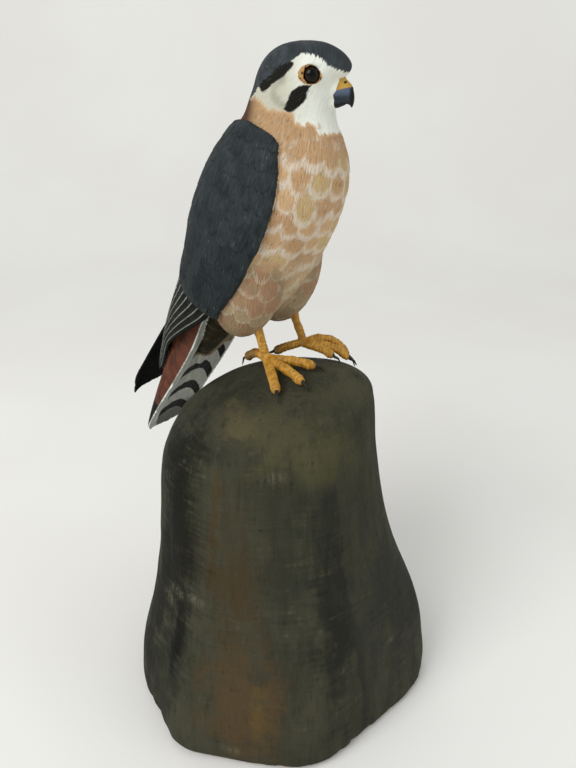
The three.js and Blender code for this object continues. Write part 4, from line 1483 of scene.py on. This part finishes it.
# %% Spots on the stump
# Spots of another colour: (place in mm, reach across, reach in height, colour, strength)
STUMP_SPOTS = [
    ((-74, 34, 110), 30, 130, "#191a15", 0.9),
    ((-84, 22, 40), 20, 50, "#2e2f26", 0.7),
    ((-66, -20, 96), 17, 58, "#453a28", 0.85),
    ((-76, -28, 40), 24, 46, "#51432e", 0.95),
    ((-65, -8, 159), 4, 28, "#4e3e24", 0.6),
    ((-67, -6, 120), 5, 40, "#43351f", 0.6),
    ((-72.4, -39, 42), 4.5, 21, "#5f4d2c", 0.7),
    ((-58, -34, 150), 11, 60, "#3e3d30", 0.7),
    ((-77, 14, 50), 6, 60, "#0d0e0c", 0.9),
    ((-68, 8, 140), 12, 60, "#2c2a20", 0.8),
    ((-70, 18, 150), 14, 60, "#191a15", 0.8),
    ((-40, -30, 192), 22, 12, "#524f37", 0.7),
    ((-46, -6, 194), 12, 8, "#5a533b", 0.7),
    ((-32, -44, 180), 26, 12, "#525037", 0.7),
    ((-8, -60, 170), 14, 14, "#484734", 0.6),
    ((-50, -42, 118), 12, 56, "#32332a", 0.7),
    ((-36, -64, 90), 14, 70, "#252621", 0.85),
    ((-8, -70, 96), 12, 66, "#3c3d35", 0.6),
    ((12, -70, 66), 20, 56, "#33332e", 0.85),
    ((30, -66, 112), 9, 60, "#45453b", 0.7),
    ((40, -62, 60), 22, 46, "#2f302b", 0.85),
    ((4, -40, 203), 20, 12, "#4f4e3c", 0.7),
    ((-24, -29, 205), 20, 7, "#454433", 0.6),
    ((26, -22, 206), 20, 12, "#525140", 0.6),
    ((70, 10, 110), 40, 80, "#35362c", 0.7),
    ((30, 72, 80), 34, 90, "#42382a", 0.6),
]
# Places of the pale scuffs in mm, and how far each reaches across and in height
STUMP_SCUFFS = [
    (-71, 25.5, 83), (-74, 2, 95), (-73, 18, 92), (4, -77, 55), (-81, -27, 12), (20, -72, 45),
    (-52, -37, 173),
]
SCUFF_REACH = (8, 4)


def far_from_spot(p, place, wide, tall):
    """How far a point is from a place, in reaches of the spot."""
    scale = (1 / (wide * MM), 1 / (wide * MM), 1 / (tall * MM))
    middle = (-place[0] / wide, -place[1] / wide, -place[2] / tall)
    sockets = {"Vector": p.place, "Location": middle, "Scale": scale}
    offset = p.node("ShaderNodeMapping", {"vector_type": "POINT"}, sockets)
    return p.node("ShaderNodeVectorMath", {"operation": "LENGTH"}, {0: offset}, out="Value")


print("spots:", len(STUMP_SPOTS), "and scuffs:", len(STUMP_SCUFFS))

# %% [markdown]
# The ground is olive-black. Each spot is laid over it with an edge that noise breaks up, and
# then come upright runs, brush marks and a faint weave across them, pale grit and the scuffs.
# The nibbled rim at the foot is browner, with flecks of bare wood.

# %% Stump paint
def make_stump_paint():
    p = Paint("stump stain", Specular_IOR_Level=0.06)
    cloud = p.noise(28, detail=4, rough=0.6)
    patch = p.noise(75, detail=4, rough=0.65)
    upright = p.noise(1.0, p.stretched(110, 110, 8), detail=4, rough=0.65)
    brush = p.noise(1.0, p.stretched(500, 500, 45), detail=3, rough=0.6)
    weave = p.noise(1.0, p.stretched(60, 60, 520), detail=2, rough=0.6)
    grit = p.noise(800, detail=3, rough=0.6)
    base = p.over(colour("#2e2f26"), colour("#464537"), (cloud * 0.4 + upright * 0.5).step(-0.6, 0.6))
    for place, wide, tall, shade, strength in STUMP_SPOTS:
        out = far_from_spot(p, place, wide, tall)
        mask = (out + cloud * 0.3 + upright * 0.35 + patch * 0.5 + weave * 0.25).step(1.4, 0.2) * strength
        base = p.over(base, colour(shade), mask)
    base = p.over(base, colour("#141511"), (upright * 0.7 + patch * 0.3).step(0.1, 1.1) * 0.6)
    base = p.over(base, colour("#5e5b47"), (brush * 0.5 + patch * 0.4 + weave * 0.4).step(0.2, 1.2) * 0.5)
    base = p.over(base, colour("#151611"), (brush * -0.6 - weave * 0.45).step(0.2, 1.1) * 0.45)
    base = p.over(base, colour("#8a8570"), (grit * 0.6 + cloud * 0.3).step(0.95, 1.3) * 0.5)
    for place in STUMP_SCUFFS:
        mask = (far_from_spot(p, place, *SCUFF_REACH) + cloud * 0.3).step(1.3, 0.2)
        mask = mask * (grit * 0.6 + brush * 0.6).step(-0.6, 0.9) * 0.35
        base = p.over(base, colour("#8c8872"), mask)
    height = p.node("ShaderNodeSeparateXYZ", None, {0: p.place}, out="Z")
    rim = (height * (1 / MM) + p.noise(160, detail=3) * 3.0).step(4.6, 1.0)
    base = p.over(base, colour("#5c462a"), rim * 0.8)
    base = p.over(base, colour("#b0a288"), rim * p.noise(220, detail=3).step(0.7, 0.95))
    p.bump(upright * 0.3 + brush * 0.2 + grit * 0.2 + patch * 0.3 + weave * 0.08, 0.8, 0.9)
    return p.finish(base, 0.72 + cloud * 0.06 + grit * 0.05)


dress(stump, make_stump_paint(), "stump_wood", "stump_base")
print("stump painted")

# %% [markdown]
# The floor is one plain pale sheet, which lies flat under the stump and sweeps up far behind it,
# so that no edge shows. It is a fine grid whose far side is rolled up a quarter turn.

# %% Floor
BACKDROP = {"size": 5.0, "cuts": 80, "flat_to": 0.9, "bend": 0.6}  # metres, and grid cuts

bpy.ops.object.select_all(action="DESELECT")
bpy.ops.mesh.primitive_grid_add(
    x_subdivisions=BACKDROP["cuts"], y_subdivisions=BACKDROP["cuts"], size=BACKDROP["size"]
)
floor = bpy.context.object
floor.name = "pale_backdrop"
side, away, _ = points_of(floor).T
bent = np.clip((away - BACKDROP["flat_to"]) / BACKDROP["bend"], 0, math.pi / 2)
straight_up = np.maximum(away - BACKDROP["flat_to"] - BACKDROP["bend"] * math.pi / 2, 0)
away = np.minimum(away, BACKDROP["flat_to"]) + BACKDROP["bend"] * np.sin(bent)
up = BACKDROP["bend"] * (1 - np.cos(bent)) + straight_up
c, s = math.cos(math.radians(CAMERA_HEADING)), math.sin(math.radians(CAMERA_HEADING))
put_points(floor, stack(side * c + away * s, away * c - side * s, up))
bpy.ops.object.shade_smooth()
pale = Paint("pale backdrop", Specular_IOR_Level=0.1)
shade = pale.over(colour("#f6f4f0"), colour("#f9f8f4"), pale.noise(3.0, detail=2).step(-0.6, 0.6))
floor.data.materials.append(pale.finish(shade, 0.9))
print("floor laid")

# %% [markdown]
# The light is soft and plain: one large lamp high on the camera's left, a faint one that fills
# the shadows from the right, and a pale world. The plain view transform keeps the paints as
# they were mixed.

# %% Lights
LIGHTS = {
    "main": {"place": (-1.3, 0.1, 1.3), "size": 1.0, "power": 16},
    "fill": {"place": (0.6, -1.5, 0.9), "size": 1.6, "power": 4},
}
AIM = (0, 0, 0.2)
WORLD_LIGHT = 0.62

for name, light in LIGHTS.items():
    bpy.ops.object.light_add(type="AREA", location=light["place"])
    lamp = bpy.context.object
    lamp.name = name
    lamp.data.size = light["size"]
    lamp.data.energy = light["power"]
    lamp.rotation_euler = (lamp.location - Vector(AIM)).to_track_quat("Z", "Y").to_euler()
world = bpy.data.worlds.new("pale world")
world.use_nodes = True
world.node_tree.nodes["Background"].inputs["Color"].default_value = colour("#f4f6f6")
world.node_tree.nodes["Background"].inputs["Strength"].default_value = WORLD_LIGHT
bpy.context.scene.world = world
bpy.context.scene.view_settings.view_transform = "Standard"
print("lights:", list(LIGHTS))
